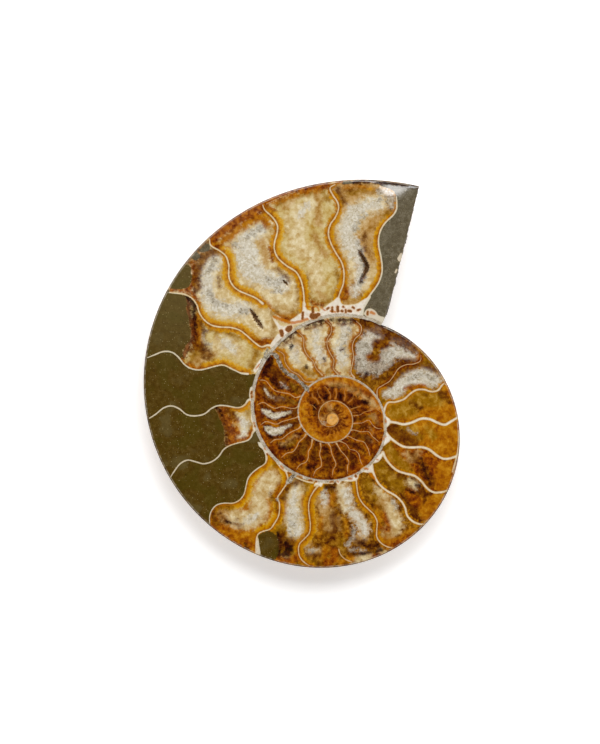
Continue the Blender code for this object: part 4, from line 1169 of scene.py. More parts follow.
def readPattern(points):
    angle = spiralAngle(points)
    read = readSepta(points, angle)
    owner = read["owner"]
    chamber = np.where(read["side"] > 0, owner, owner + 1)
    chamber[(owner < 0) & (angle < pattern["bodyUntil"])] = 0
    chamber[(chamber == len(septa)) | (angle > pattern["coreFrom"])] = -1
    lining, stain = readLining(read, chamber)

    radius = np.hypot(points[:, 0], points[:, 1])
    toOuter = (wallRadius(angle) - radius) * 0.99
    toInner = (radius - wallRadius(angle + 360)) * 0.99
    outermost = angle < shell["breakAngle"] + 360
    toWall = np.where(outermost, toInner, np.minimum(np.abs(toOuter), toInner))
    turnsIn = np.where(np.abs(toOuter) < toInner, angle, angle + 360) / 360 - 1
    bandWidth = pattern["bandWidth"] * pattern["bandThinning"] ** np.clip(turnsIn - 0.6, 0, 3)
    share = np.clip(toInner / np.maximum(toInner + toOuter, 0.01), 0, 1)
    lag = pattern["coreLineBend"] * np.sin(math.pi * share) ** 2
    fields = {
        "shellEdge": read["shellEdge"], "stain": stain, "lining": lining,
        "bandEdge": bandWidth / 2 - toWall, "fromWall": np.minimum(read["nearest"], toWall),
        "alongWall": read["place"] * read["length"] + owner * 31.7,
        "rimDistance": np.where(outermost, toOuter, 20.0), "whorl": angle / 360, "coreShare": share,
        "coreTurn": np.where(chamber == -1, angle + lag, 0.0) / 360 * pattern["coreLines"],
        "pit": pitDepths(points),
    }
    layMinerals(fields, points, chamber)
    layShell(fields, points)
    print("pattern:", len(fields), "fields on", len(points), "points")
    return fields


def growthLines(spots):    # the flank's growth lines swing back towards the venter, as the ribs do
    angle = spiralAngle(spots[:, :2])
    share = np.hypot(spots[:, 0], spots[:, 1]) / wallRadius(angle)
    share = (share - shell["seamShare"]) / (1 - shell["seamShare"])
    place = np.clip((share - shell["ribFrom"]) / (shell["ribTo"] - shell["ribFrom"]), 0, 1)
    swing = (place ** 2 - np.sin(math.pi * place) * shell["ribCurl"]) * shell["ribBend"]
    turned = np.radians(angle - swing)
    reach = pattern["growthPerRadian"]
    return {"growthAcross": reach * np.cos(turned), "growthAround": reach * np.sin(turned),
            "whorl": angle / 360}


def carryPattern(stone):
    spots = pointsOf(stone.data)
    onFace = spots[:, 2] > pattern["faceDepth"]
    fields = {}
    for name, values in readPattern(spots[onFace, :2]).items():
        fields[name] = np.zeros(len(spots))
        fields[name][onFace] = values
    fields.update(growthLines(spots))
    for name, values in fields.items():
        carried = stone.data.attributes.new(name, "FLOAT", "POINT")
        carried.data.foreach_set("value", values.astype(np.float32))


def wallRoute():    # the umbilical wall, from the broken mouth in to the first chamber
    return wallPoint(np.arange(shell["breakAngle"] + 360, shell["breakAngle"] + 360 * 4.1, 1.5))


def thinOut(points, lines, gap):    # drops grid points that stand too close to a line
    keep = np.ones(len(points), bool)
    for line in lines:
        near = np.flatnonzero(keep & nearBox(points, line.min(0) - gap, line.max(0) + gap))
        away, _, _ = measure(points[near], line)
        keep[near[away < gap]] = False
    return points[keep]


def triangulate(points, edges, outline):    # keeps the triangles that lie inside the outline
    plan = delaunay_2d_cdt([Vector(point) for point in points], edges, [], 1, 1e-6, False)
    points, triangles = np.array([tuple(vertex) for vertex in plan[0]]), np.array(plan[2])
    return points, triangles[inside(points[triangles].mean(1), outline)]


def buildFacePlan(loop):    # the face's triangles in plan, with an edge along every drawn line
    wall = wallRoute()
    outerWall = wall[:face["wallPoints"]]
    coarse = hexGrid(loop.min(0), loop.max(0), face["spacing"])
    fine = hexGrid(outerWall.min(0) - 2, outerWall.max(0) + 2, face["wallSpacing"])
    fine = fine[measure(fine, outerWall)[0] < face["wallReach"]]
    coarse = coarse[measure(coarse, outerWall)[0] >= face["wallReach"] + 0.1]
    outlines = [pitOutline(halfWidth, route) for halfWidth, _, route in pits]
    pitPoints = []
    for outline in outlines:
        points = hexGrid(outline.min(0), outline.max(0), pitShape["spacing"])
        pitPoints.append(points[inside(points, outline)])
        coarse = coarse[~inside(coarse, outline)]
    grid = np.vstack([coarse, fine])
    lines = [smoothRoute(septum["route"], face["lineSpacing"]) for septum in septa]
    lines += [smoothRoute(route, face["lineSpacing"]) for _, route in spurs] + [wall]
    rings = [closed(outline) for outline in outlines]
    grid = thinOut(grid[inside(grid, loop)], lines + rings + [closed(loop)], face["lineGap"])
    pitGrid = thinOut(np.vstack(pitPoints), rings, pitShape["gap"])
    count = len(loop)
    points = [loop]
    edges = [(i, (i + 1) % count) for i in range(count)]
    for line in lines + rings:
        line = line[inside(line, loop) & (measure(line, closed(loop))[0] > face["lineGap"] / 2)]
        points.append(line)
        edges += [(count + i, count + i + 1) for i in range(len(line) - 1)]
        count += len(line)
    return triangulate(np.vstack(points + [grid, pitGrid]), edges, loop)


def pitDepths(points):
    depth = np.zeros(len(points))
    for halfWidth, deepest, route in pits:
        outline = pitOutline(halfWidth, route)
        near = np.flatnonzero(nearBox(points, outline.min(0) - 0.1, outline.max(0) + 0.1))
        within = near[inside(points[near], outline)]
        edge = measure(points[within], closed(outline))[0]
        middle = measure(points[within], smoothRoute(route, 0.2))[2]
        fine = pitShape["crystalsPerMm"]
        crystals = np.array([noise.cell(Vector((x * fine, y * fine, 3.0))) for x, y in points[within]])
        slope = np.clip(edge / (halfWidth * pitShape["slope"]), 0, 1)
        depth[within] = deepest * slope * (0.7 + 0.3 * crystals) * (0.35 + 0.65 * np.sin(math.pi * middle))
    return depth


def fillBreak(outline):    # a rough fracture spanning a closed 3-D outline
    corner = Vector((*breakEdge[0], 0))
    along = (Vector((*breakEdge[-1], 0)) - corner).normalized()
    axes = np.array([along, (0, 0, 1), along.cross(Vector((0, 0, 1)))])
    local = (outline - np.array(corner)) @ axes.T
    grid = hexGrid(local[:, :2].min(0), local[:, :2].max(0), fracture["spacing"])
    grid = grid[inside(grid, local[:, :2])]
    grid = thinOut(grid, [closed(local)[:, :2]], fracture["spacing"] * 0.45)
    edges = [(i, (i + 1) % len(local)) for i in range(len(local))]
    flat, triangles = triangulate(np.vstack([local[:, :2], grid]), edges, local[:, :2])
    away = np.hypot(flat[:, None, 0] - local[None, :, 0], flat[:, None, 1] - local[None, :, 1])
    weight = 1 / (away + 1e-4) ** 3
    lift = (weight * local[None, :, 2]).sum(1) / weight.sum(1)
    lump, grain = fracture["lumpsPerMm"], fracture["grainPerMm"]
    rough = np.array([
        noise.fractal(Vector((x * lump, y * lump, 7.0)), 0.9, 2.1, 4)
        + 0.5 * noise.fractal(Vector((x * grain, y * grain, 2.0)), 0.8, 2.0, 3) for x, y in flat])
    lift += fracture["roughness"] * rough * np.clip(away.min(1) / fracture["smoothEdge"], 0, 1)
    return np.column_stack([flat, lift]) @ axes + np.array(corner), triangles


def buildRim(outline, breakStart):    # rows of points that round the outline over on to the face
    count = len(outline)
    share = np.where(np.arange(count) >= breakStart, face["breakRimShare"], 1.0)
    share = (np.roll(share, 1) + share + np.roll(share, -1)) / 3
    roll = rollOff(outline[:, :2])
    rings = [outline]
    for inset, depth in face["rimRows"]:
        plan = insetLoop(outline[:, :2], (inset * share)[:, None])
        z = -(roll + (-outline[:, 2] - roll) * depth)
        rings.append(np.column_stack([plan, z]))
    quads = []
    for start in range(0, count * (len(rings) - 1), count):
        for i in range(count):
            j = (i + 1) % count
            quads.append((start + i, start + j, start + count + j, start + count + i))
    return np.vstack(rings), quads, rings[-1]


def buildTop(ring):    # the face inside the rim's last row, with its pits
    plan, triangles = buildFacePlan(ring[:, :2])
    z = -(rollOff(plan) + pitDepths(plan))
    ringHeight = {(round(x, 4), round(y, 4)): height for x, y, height in ring}
    for index, (x, y) in enumerate(plan[: len(ring) + 5]):    # the plan's first points are the ring's
        z[index] = ringHeight.get((round(x, 4), round(y, 4)), z[index])
    return np.column_stack([plan, z]), triangles


def buildStone(materials):
    flank, quads = buildFlank(materials[1])
    columns = shell["innerColumns"] + shell["outerColumns"] + 1
    outer = flank[: (shell["rowsPerTurn"] + 1) * columns].reshape(-1, columns, 3)
    outer[:, -1, 2] -= rollOff(outer[:, -1, :2])
    rim, section, behind = outer[:, -1], outer[0], outer[-1, shell["innerColumns"]:]
    edge = brokenEdge(rim)
    rows, band, ring = buildRim(np.vstack([rim, edge]), len(rim))
    broken = fillBreak(np.vstack([section, edge[::-1], behind[:0:-1]]))
    parts = [(flank, quads, 1), (rows, band, 0), (*buildTop(ring), 0), (*broken, 2)]
    return joinParts(parts, materials)


def joinParts(parts, materials):    # points, faces and material number of each, made one closed stone
    mesh = bpy.data.meshes.new("ammonite_fossil")
    points, faces, finishes = [], [], []
    offset = 0
    for spots, shapes, finish in parts:
        points.append(spots * mm + np.array(eye))
        faces += [tuple(int(i) + offset for i in shape) for shape in shapes]
        finishes += [finish] * len(shapes)
        offset += len(spots)
    mesh.from_pydata(np.vstack(points).tolist(), [], faces)
    mesh.polygons.foreach_set("material_index", finishes)
    for material in materials:
        mesh.materials.append(material)
    work = bmesh.new()
    work.from_mesh(mesh)
    bmesh.ops.remove_doubles(work, verts=work.verts, dist=2e-6)
    bmesh.ops.holes_fill(work, edges=[edge for edge in work.edges if edge.is_boundary])    # the eye's end
    bmesh.ops.triangulate(work, faces=work.faces)
    bmesh.ops.recalc_face_normals(work, faces=work.faces)
    openEdges = sum(1 for edge in work.edges if len(edge.link_faces) != 2)
    print("stone:", len(work.faces), "triangles,", openEdges, "open edges")
    work.to_mesh(mesh)
    work.free()
    stone = bpy.data.objects.new("ammonite_fossil", mesh)
    bpy.context.scene.collection.objects.link(stone)
    mesh.shade_smooth()
    return stone


atlas = {    # shares of the stone's own texture map
    "margin": 0.006,
    "faceWidth": 0.79,
    "stripLeft": 0.81,
    "stripRight": 0.99,
    "whorlTop": 0.74,
    "umbilicusBottom": 0.76,
    "umbilicusTop": 0.92,
    "breakBottom": 0.94,
}


def unwrapStone(stone):    # the face lies flat on the map, with the flank unrolled beside it
    mesh = stone.data
    spots, corners = pointsOf(mesh), cornersOf(mesh)
    finish = np.empty(len(mesh.polygons), int)
    mesh.polygons.foreach_get("material_index", finish)
    middle = spots[corners.reshape(-1, 3)].mean(1)
    turn = np.repeat(spiralAngle(middle[:, :2]), 3)
    finish = np.repeat(finish, 3)
    spots = spots[corners]
    margin, left = atlas["margin"], atlas["stripLeft"]
    width = atlas["stripRight"] - left
    low, high = spots.min(0), spots.max(0)
    place = margin + (spots[:, :2] - low[:2]) * (atlas["faceWidth"] - margin) / (high[0] - low[0])

    plain = np.degrees(np.arctan2(spots[:, 1], spots[:, 0]))
    angle = turn + (plain - turn + 180) % 360 - 180
    share = np.hypot(spots[:, 0], spots[:, 1]) / wallRadius(angle)
    share = np.clip((share - shell["seamShare"]) / (1 - shell["seamShare"]), 0, 1)
    along = np.clip((angle - shell["breakAngle"]) / 360, 0, 1)
    unrolled = np.stack([left + share * width, margin + along * (atlas["whorlTop"] - margin)], -1)
    outermost = (finish == 1) & (turn < shell["breakAngle"] + 360)
    place[outermost] = unrolled[outermost]

    inner = (finish == 1) & ~outermost
    bottom, top = atlas["umbilicusBottom"], atlas["umbilicusTop"]
    innerLow, innerHigh = spots[inner, :2].min(0), spots[inner, :2].max(0)
    inBox = (spots[:, :2] - innerLow) / (innerHigh - innerLow)
    place[inner] = (np.array([left, bottom]) + inBox * [width, top - bottom])[inner]

    broken = finish == 2
    run = np.hypot(*(spots[:, :2] - np.array(breakEdge[0])).T)
    rise = (spots[:, 2] - low[2]) / (high[2] - low[2])
    height = 1 - margin - atlas["breakBottom"]
    flat = np.stack([left + run / run[broken].max() * width, atlas["breakBottom"] + rise * height], -1)
    place[broken] = flat[broken]
    layer = mesh.uv_layers.new(name="OFBake")
    layer.data.foreach_set("uv", place.astype(np.float32).ravel())
    print("texture map:", place.min(0).round(3), place.max(0).round(3))


# How the minerals look. Tones run from a texture's dark places to its light ones: (texture value,
# colour as seen). "edge" is how softly the mineral ends, in mm, "wander" how far its border strays and
# "grow" how far it spreads past its line.
looks = {
    "honey": {"texture": "soft",
              "tones": [(0.34, (178, 138, 66)), (0.48, (200, 174, 112)), (0.62, (216, 198, 150))]},
    "glass": {"texture": "mottle",
              "tones": [(0.34, (124, 60, 8)), (0.5, (170, 98, 20)), (0.66, (204, 136, 44))]},
    "agate": {"texture": "mottle",
              "tones": [(0.34, (72, 42, 10)), (0.5, (128, 82, 22)), (0.66, (184, 132, 50))]},
    "olive": {"texture": "soft", "edge": 2.0, "wander": 1.0, "strength": 0.92,
              "tones": [(0.34, (112, 74, 14)), (0.50, (149, 105, 26)), (0.66, (184, 143, 66))]},
    "tan": {"texture": "soft", "edge": 1.6, "wander": 1.0, "strength": 0.92,
            "tones": [(0.34, (142, 96, 38)), (0.48, (178, 136, 78)), (0.64, (204, 172, 122))]},
    "cream": {"texture": "soft", "grow": 0.5, "edge": 2.0, "wander": 1.2, "strength": 0.92,
              "tones": [(0.34, (182, 144, 84)), (0.46, (202, 174, 122)), (0.57, (222, 202, 158)),
                        (0.68, (236, 224, 190))]},
    "frost": {"texture": "crystal", "grow": 0.4, "edge": 2.0, "wander": 1.5, "strength": 0.92,
              "tones": [(0.0, (144, 126, 98)), (0.25, (192, 179, 153)), (0.6, (212, 204, 186)),
                        (0.95, (234, 229, 216))]},
    "grey": {"texture": "crystal", "edge": 1.1, "wander": 1.2, "strength": 0.76,
             "tones": [(0.1, (110, 98, 78)), (0.5, (168, 158, 140)), (0.9, (208, 200, 184))]},
    "amber": {"texture": "mixed", "edge": 1.4, "wander": 0.9, "strength": 0.94,
              "tones": [(0.36, (138, 76, 8)), (0.5, (174, 108, 16)), (0.64, (200, 142, 46))]},
    "rust": {"texture": "mottle", "grow": 0.15, "edge": 1.3, "wander": 0.8, "strength": 0.96,
             "tones": [(0.36, (90, 42, 4)), (0.5, (140, 74, 6)), (0.64, (180, 110, 14))]},
    "umber": {"texture": "mottle", "edge": 1.5, "wander": 0.9, "strength": 0.88,
              "tones": [(0.36, (66, 36, 8)), (0.5, (102, 60, 15)), (0.64, (140, 92, 32))]},
    "garnet": {"texture": "mottle", "edge": 0.9, "wander": 0.8, "strength": 0.9,
               "tones": [(0.36, (60, 30, 6)), (0.5, (94, 49, 10)), (0.64, (142, 80, 17))]},
    "char": {"texture": "mottle", "edge": 0.9, "wander": 0.6, "strength": 0.94,
             "tones": [(0.36, (30, 16, 6)), (0.5, (54, 30, 10)), (0.66, (92, 52, 16))]},
    "milk": {"texture": "crystal", "edge": 0.7, "wander": 0.45, "strength": 0.92,
             "tones": [(0.1, (150, 130, 96)), (0.4, (206, 192, 162)), (0.8, (234, 226, 208))]},
    "pearl": {"texture": "mottle", "edge": 0.25, "wander": 0.12, "strength": 0.95,
              "tones": [(0.36, (190, 130, 66)), (0.5, (222, 162, 84)), (0.64, (232, 178, 104))]},
    "slate": {"texture": "grain", "edge": 0.14, "wander": 0.2, "strength": 1.0,
              "tones": [(0.34, (78, 69, 53)), (0.5, (102, 93, 74)), (0.66, (130, 121, 101))]},
    "silt": {"texture": "grain", "edge": 0.25, "wander": 0.35, "strength": 1.0,
             "tones": [(0.32, (66, 49, 19)), (0.5, (86, 67, 30)), (0.68, (111, 92, 54))]},
}

coreLook = {
    "deepShare": 0.8,           # how strongly the inner part of the whorl darkens
    "line": (198, 134, 66),
    "lineShare": 0.45,
    "gap": (92, 48, 12),        # the stone between two lines
    "gapShare": 0.4,
}

liningLook = {    # amber crystals along the septa
    "fresh": [(0.0, (138, 80, 4)), (0.14, (170, 106, 5)), (0.32, (196, 132, 10)), (0.50, (208, 152, 32)),
              (0.70, (212, 174, 90))],
    "rusty": [(0.02, (98, 42, 6)), (0.2, (148, 76, 10)), (0.45, (180, 118, 34))],
    "fringe": (132, 84, 18),
}

siltLook = {
    "damp": (80, 72, 28),
    "dampShare": 0.4,
    "dry": (104, 92, 60),
    "dryShare": 0.45,
    "dryFrom": 8.0,             # mm north of the eye where the silt starts to pale
    "dryTo": 30.0,
    "paleSpeck": (176, 158, 112),
    "darkSpeck": (38, 27, 12),
    "crystalSpeck": (104, 80, 48),
}

shellLook = {    # septa, their feet and the umbilical wall
    "fresh": [(0.36, (200, 172, 120)), (0.5, (222, 202, 156)), (0.64, (232, 220, 190))],
    "thick": [(0.36, (216, 196, 172)), (0.5, (234, 224, 208)), (0.64, (240, 236, 228))],
    "stained": (184, 138, 84),
    "overSilt": (208, 200, 178),
    "inCore": (166, 106, 46),
    "glow": (188, 112, 28),     # stone that shines through beside the inner whorls' septa
    "wall": [(0.36, (116, 94, 66)), (0.48, (176, 162, 140)), (0.6, (218, 210, 194))],
    "innerWall": (184, 148, 100),
    "grey": [(0.25, (78, 64, 46)), (0.42, (130, 120, 102)), (0.58, (156, 148, 132)), (0.8, (206, 198, 180))],
    "cellRim": (198, 132, 60),
    "orangeCell": (190, 112, 22),
    "brownCell": [(0.36, (76, 40, 16)), (0.5, (118, 68, 30)), (0.64, (152, 98, 54))],
}

rimLook = {
    "line": [(0.36, (40, 22, 8)), (0.5, (84, 52, 22)), (0.64, (158, 130, 92))],
    "lineShare": 0.85,
    "paleLine": (188, 176, 150),
    # the slits' colour: partly the crystals' own brown, partly painted shade laid on more fully where a slit
    # is deeper
    "pit": [(0.34, (52, 30, 12)), (0.48, (104, 66, 30)), (0.62, (172, 140, 94))],
}

flankLook = {
    "shell": [(0.34, (88, 58, 28)), (0.45, (136, 98, 56)), (0.55, (170, 134, 88)), (0.66, (204, 182, 146))],
    "rust": [(0.35, (94, 44, 14)), (0.6, (156, 88, 32))],
    "silt": [(0.3, (60, 50, 32)), (0.55, (98, 86, 60))],
    "roughness": 0.5,
}

breakLook = {
    "stone": [(0.34, (52, 42, 26)), (0.5, (88, 76, 50)), (0.66, (126, 112, 80))],
    "rust": (124, 70, 24),
    "roughness": 0.75,
}

perMm = {    # how fine each texture is, in features a millimetre
    "swirl": 0.9,
    "crystal": 2.6,
    "mottle": 1.0,
    "grain": 5.0,
    "soft": 0.5,
    "cloud": 0.35,
    "fibre": 1.0,
    "wobble": 0.9,
    "fineWobble": 2.8,
    "bead": 1.25,               # crystals that scallop the lining's edge
    "speck": 2.1,
    "broad": 0.16,
    "growthLine": 1.2,
    "fineGrowthLine": 4.0,
    "shellMottle": 0.6,
    "shellGrain": 3.0,
    "rustPatch": 0.22,
    "breakMottle": 0.8,
    "breakGrain": 4.0,
}

polish = {
    "swirl": 1.3,               # mm that the crystals' texture is stirred by
    "roughness": 0.10,          # of the polished crystal
    "siltRoughness": 0.16,
    "pitRoughness": 0.6,
    "floorLight": 1.06,         # how brightly a white surface comes out under the studio light
    "haze": 0.010,              # what the polish mirrors of the lights, all over
}


def ink(red, green, blue):    # a colour as it is seen, for a shader
    wanted = [(value / 255) ** 2.2 / polish["floorLight"] - polish["haze"] for value in (red, green, blue)]
    return tuple(max(value, 0.001) for value in wanted) + (1,)


def newMaterial(name):
    material = bpy.data.materials.new(name)
    material.use_nodes = True
    tree = material.node_tree
    return material, tree, tree.nodes["Principled BSDF"]


def attribute(tree, name):
    return Number(tree, nodeIn(tree, "ShaderNodeAttribute", attribute_name=name).outputs["Fac"])


def placeInMm(tree):
    coordinates = tree.nodes.new("ShaderNodeTexCoord")
    scale = nodeIn(tree, "ShaderNodeVectorMath", coordinates.outputs["Object"], operation="SCALE")
    scale.inputs["Scale"].default_value = 1 / mm
    return scale.outputs[0]


def noiseAt(tree, place, scale, detail=3.0, roughness=0.55):
    node = nodeIn(tree, "ShaderNodeTexNoise", place)
    node.inputs["Scale"].default_value = scale
    node.inputs["Detail"].default_value = detail
    node.inputs["Roughness"].default_value = roughness
    return node


def noiseValue(tree, place, scale, detail=3.0, roughness=0.55):
    return Number(tree, noiseAt(tree, place, scale, detail, roughness).outputs["Fac"])


def cellsAt(tree, place, scale, channel):    # how far the cell's middle is, and the cell's own value
    node = nodeIn(tree, "ShaderNodeTexVoronoi", place)
    node.inputs["Scale"].default_value = scale
    split = nodeIn(tree, "ShaderNodeSeparateColor", node.outputs["Color"])
    return Number(tree, node.outputs["Distance"]), Number(tree, split.outputs[channel])


def tonesOf(tree, value, tones):
    node = nodeIn(tree, "ShaderNodeValToRGB", value)
    stops = node.color_ramp.elements
    while len(stops) < len(tones):
        stops.new(0.5)
    for stop, (position, colour) in zip(stops, tones):
        stop.position = position
        stop.color = ink(*colour)
    return node.outputs["Color"]


def over(tree, mask, below, above):
    node = nodeIn(tree, "ShaderNodeMix", data_type="RGBA")
    feed(tree, mask, node.inputs[0])
    feed(tree, below, node.inputs[6])
    feed(tree, above, node.inputs[7])
    return node.outputs[2]


def stepUp(value, low, high):    # 0 below low, 1 above high, smooth between
    node = nodeIn(value.tree, "ShaderNodeMapRange", value, low, high, interpolation_type="SMOOTHSTEP")
    return Number(value.tree, node.outputs[0])


def addBump(tree, shader, height, strength, distance):
    bump = nodeIn(tree, "ShaderNodeBump")
    bump.inputs["Strength"].default_value = strength
    bump.inputs["Distance"].default_value = distance
    feed(tree, height, bump.inputs["Height"])
    tree.links.new(bump.outputs[0], shader.inputs["Normal"])


def buildLayerGroup():
    inputs = [("Below", "NodeSocketColor", None), ("Colour", "NodeSocketColor", None),
              ("Field", "NodeSocketFloat", 0.0), ("Wobble", "NodeSocketFloat", 0.0),
              ("Wander", "NodeSocketFloat", 1.0), ("Edge", "NodeSocketFloat", 0.5),
              ("Strength", "NodeSocketFloat", 1.0)]
    outputs = [("Colour", "NodeSocketColor"), ("Mask", "NodeSocketFloat")]
    tree, entry, leave = newTree("mineral layer", "ShaderNodeTree", inputs, outputs)
    given = {label: Number(tree, entry.outputs[label]) for label, _, _ in inputs}
    edge = (given["Field"] + given["Wobble"] * given["Wander"]) / given["Edge"]
    mask = stepUp(edge, -0.5, 0.5) * given["Strength"]
    feed(tree, over(tree, mask, entry.outputs["Below"], entry.outputs["Colour"]), leave.inputs[0])
    feed(tree, mask, leave.inputs[1])
    return tree


class FacePaint:    # the polished face's textures, and its colour so far

    def __init__(self, tree):
        self.tree = tree
        self.layerGroup = buildLayerGroup()
        self.masks = {}
        self.place = placeInMm(tree)
        stir = noiseAt(tree, self.place, perMm["swirl"], 2.0)
        swirl = nodeIn(tree, "ShaderNodeVectorMath", stir.outputs["Color"], operation="MULTIPLY_ADD")
        swirl.inputs[1].default_value = [polish["swirl"]] * 3
        tree.links.new(self.place, swirl.inputs[2])
        self.bent = swirl.outputs[0]
        self.fromWall = attribute(tree, "fromWall")
        self.crystal = cellsAt(tree, self.bent, perMm["crystal"], 0)[1]
        self.mottle = self.noise("mottle", 4.0, 0.6, self.bent)
        self.grain = self.noise("grain", 3.0, 0.7)
        self.soft = self.noise("soft", 2.0, 0.5, self.bent)
        fibreSpot = nodeIn(tree, "ShaderNodeCombineXYZ", attribute(tree, "alongWall") * 2.4,
                           self.fromWall * 0.55, self.noise("cloud") * 2.0)
        self.fibre = self.noise("fibre", 3.0, 0.6, fibreSpot.outputs[0])
        fineWobble = self.noise("fineWobble", 3.0, 0.7) - 0.5
        self.wobble = (self.noise("wobble", 2.0) - 0.5) * 2.4 + fineWobble * 1.8
        textures = {
            "soft": self.soft * 0.45 + self.mottle * 0.33 + self.grain * 0.22,
            "mottle": self.mottle * 0.8 + self.grain * 0.2,
            "grain": self.grain * 0.55 + self.mottle * 0.45,
            "crystal": self.crystal * 0.55 + self.mottle * 0.9 - 0.22,
            "mixed": self.fibre * 0.2 + self.mottle * 0.4 + self.soft * 0.4,
        }
        self.inks = {name: self.tones(textures[look["texture"]], look["tones"])
                     for name, look in looks.items()}
        self.colour = self.inks[grounds[0]]

    def noise(self, name, detail=3.0, roughness=0.55, place=None):
        return noiseValue(self.tree, place or self.place, perMm[name], detail, roughness)

    def tones(self, value, stops):
        return tonesOf(self.tree, value, stops)

    def field(self, name):
        return attribute(self.tree, name)

    def tint(self, mask, colour):
        self.colour = over(self.tree, mask, self.colour, colour)

    def layer(self, colour, field, wander, edge, strength):
        node = nodeIn(self.tree, "ShaderNodeGroup", node_tree=self.layerGroup)
        values = {"Below": self.colour, "Colour": colour, "Field": field, "Wobble": self.wobble,
                  "Wander": wander, "Edge": edge, "Strength": strength}
        for label, value in values.items():
            feed(self.tree, value, node.inputs[label])
        self.colour = node.outputs["Colour"]
        return Number(self.tree, node.outputs["Mask"])

    def mineral(self, name):
        look = looks[name]
        field = self.field(name) + look.get("grow", 0.0)
        self.masks[name] = self.layer(self.inks[name], field, look["wander"], look["edge"], look["strength"])


def paintGrounds(paint):
    ground = paint.field("ground")
    for number, name in enumerate(grounds[1:-len(settled)], 1):
        paint.tint(ground.between(number - 0.5, number + 0.5), paint.inks[name])


def paintCore(paint):    # its fine septa, and the darker stone near the inner wall
    coreTurn, coreShare = paint.field("coreTurn"), paint.field("coreShare")
    paint.inCore = stepUp(coreTurn, 0.2, 1.0)
    wedge = (coreTurn * 360.0).cosine()
    deep = paint.inCore * stepUp(coreShare + wedge * 0.14 + (paint.mottle - 0.5) * 0.9, 0.62, 0.3)
    paint.tint(deep * coreLook["deepShare"], paint.inks["garnet"])
    for name in underLining:
        paint.mineral(name)
    line = paint.inCore * stepUp(wedge, 0.9, 0.985) * stepUp(paint.mottle, 0.36, 0.5)
    paint.tint(line * coreLook["lineShare"], ink(*coreLook["line"]))
    gap = paint.inCore * stepUp(wedge, 0.55, 0.85) * (1.0 - line) * stepUp(coreShare, 0.95, 0.5)
    paint.tint(gap * coreLook["gapShare"], ink(*coreLook["gap"]))


def paintLining(paint):
    mottle, grain, fibre = paint.mottle, paint.grain, paint.fibre
    growth = paint.fromWall + (fibre - 0.5) * 1.0 + (mottle - 0.5) * 2.6 + (grain - 0.5) * 1.0
    fresh = paint.tones(growth * 0.4, liningLook["fresh"])
    rusty = paint.tones(growth * 0.5, liningLook["rusty"])
    rustiness = stepUp(paint.field("stain") + (mottle - 0.5) * 1.6, 0.25, 0.85)
    bead = cellsAt(paint.tree, paint.bent, perMm["bead"], 0)[0]
    edge = paint.field("lining") + (fibre - 0.5) * 0.8 + (0.42 - bead) * 0.9
    mask = paint.layer(over(paint.tree, rustiness, fresh, rusty), edge, 0.45, 0.7, 0.95)
    fringe = mask * (1.0 - mask) * stepUp(grain, 0.44, 0.6) * 1.8
    paint.tint(fringe, ink(*liningLook["fringe"]))


def paintSilt(paint):    # damp and dry patches of the mudstone, and specks in it and in the pale crystal
    tree, masks = paint.tree, paint.masks
    broad = paint.noise("broad", 2.0, 0.5)
    paint.tint(masks["silt"] * stepUp(broad, 0.5, 0.62) * siltLook["dampShare"], ink(*siltLook["damp"]))
    north = Number(tree, nodeIn(tree, "ShaderNodeSeparateXYZ", paint.place).outputs["Y"]) - eye.y / mm
    drier = stepUp(north, siltLook["dryFrom"], siltLook["dryTo"]).atLeast(stepUp(broad, 0.46, 0.34))
    paint.tint(masks["silt"] * drier * siltLook["dryShare"], ink(*siltLook["dry"]))
    masks["silt"] = masks["silt"].atLeast(masks["slate"])
    fromMiddle, tone = cellsAt(tree, paint.place, perMm["speck"], 1)
    dot = stepUp(fromMiddle, 0.22, 0.12)
    paint.tint(masks["silt"] * dot * stepUp(tone, 0.72, 0.78) * 0.7, ink(*siltLook["paleSpeck"]))
    paint.tint(masks["silt"] * dot * stepUp(tone, 0.22, 0.18) * 0.8, ink(*siltLook["darkSpeck"]))
    pale = masks["frost"].atLeast(masks["grey"]).atLeast(masks["cream"] * 0.6) * (1.0 - masks["silt"])
    paint.tint(pale * dot * stepUp(tone, 0.7, 0.8) * 0.5, ink(*siltLook["crystalSpeck"]))


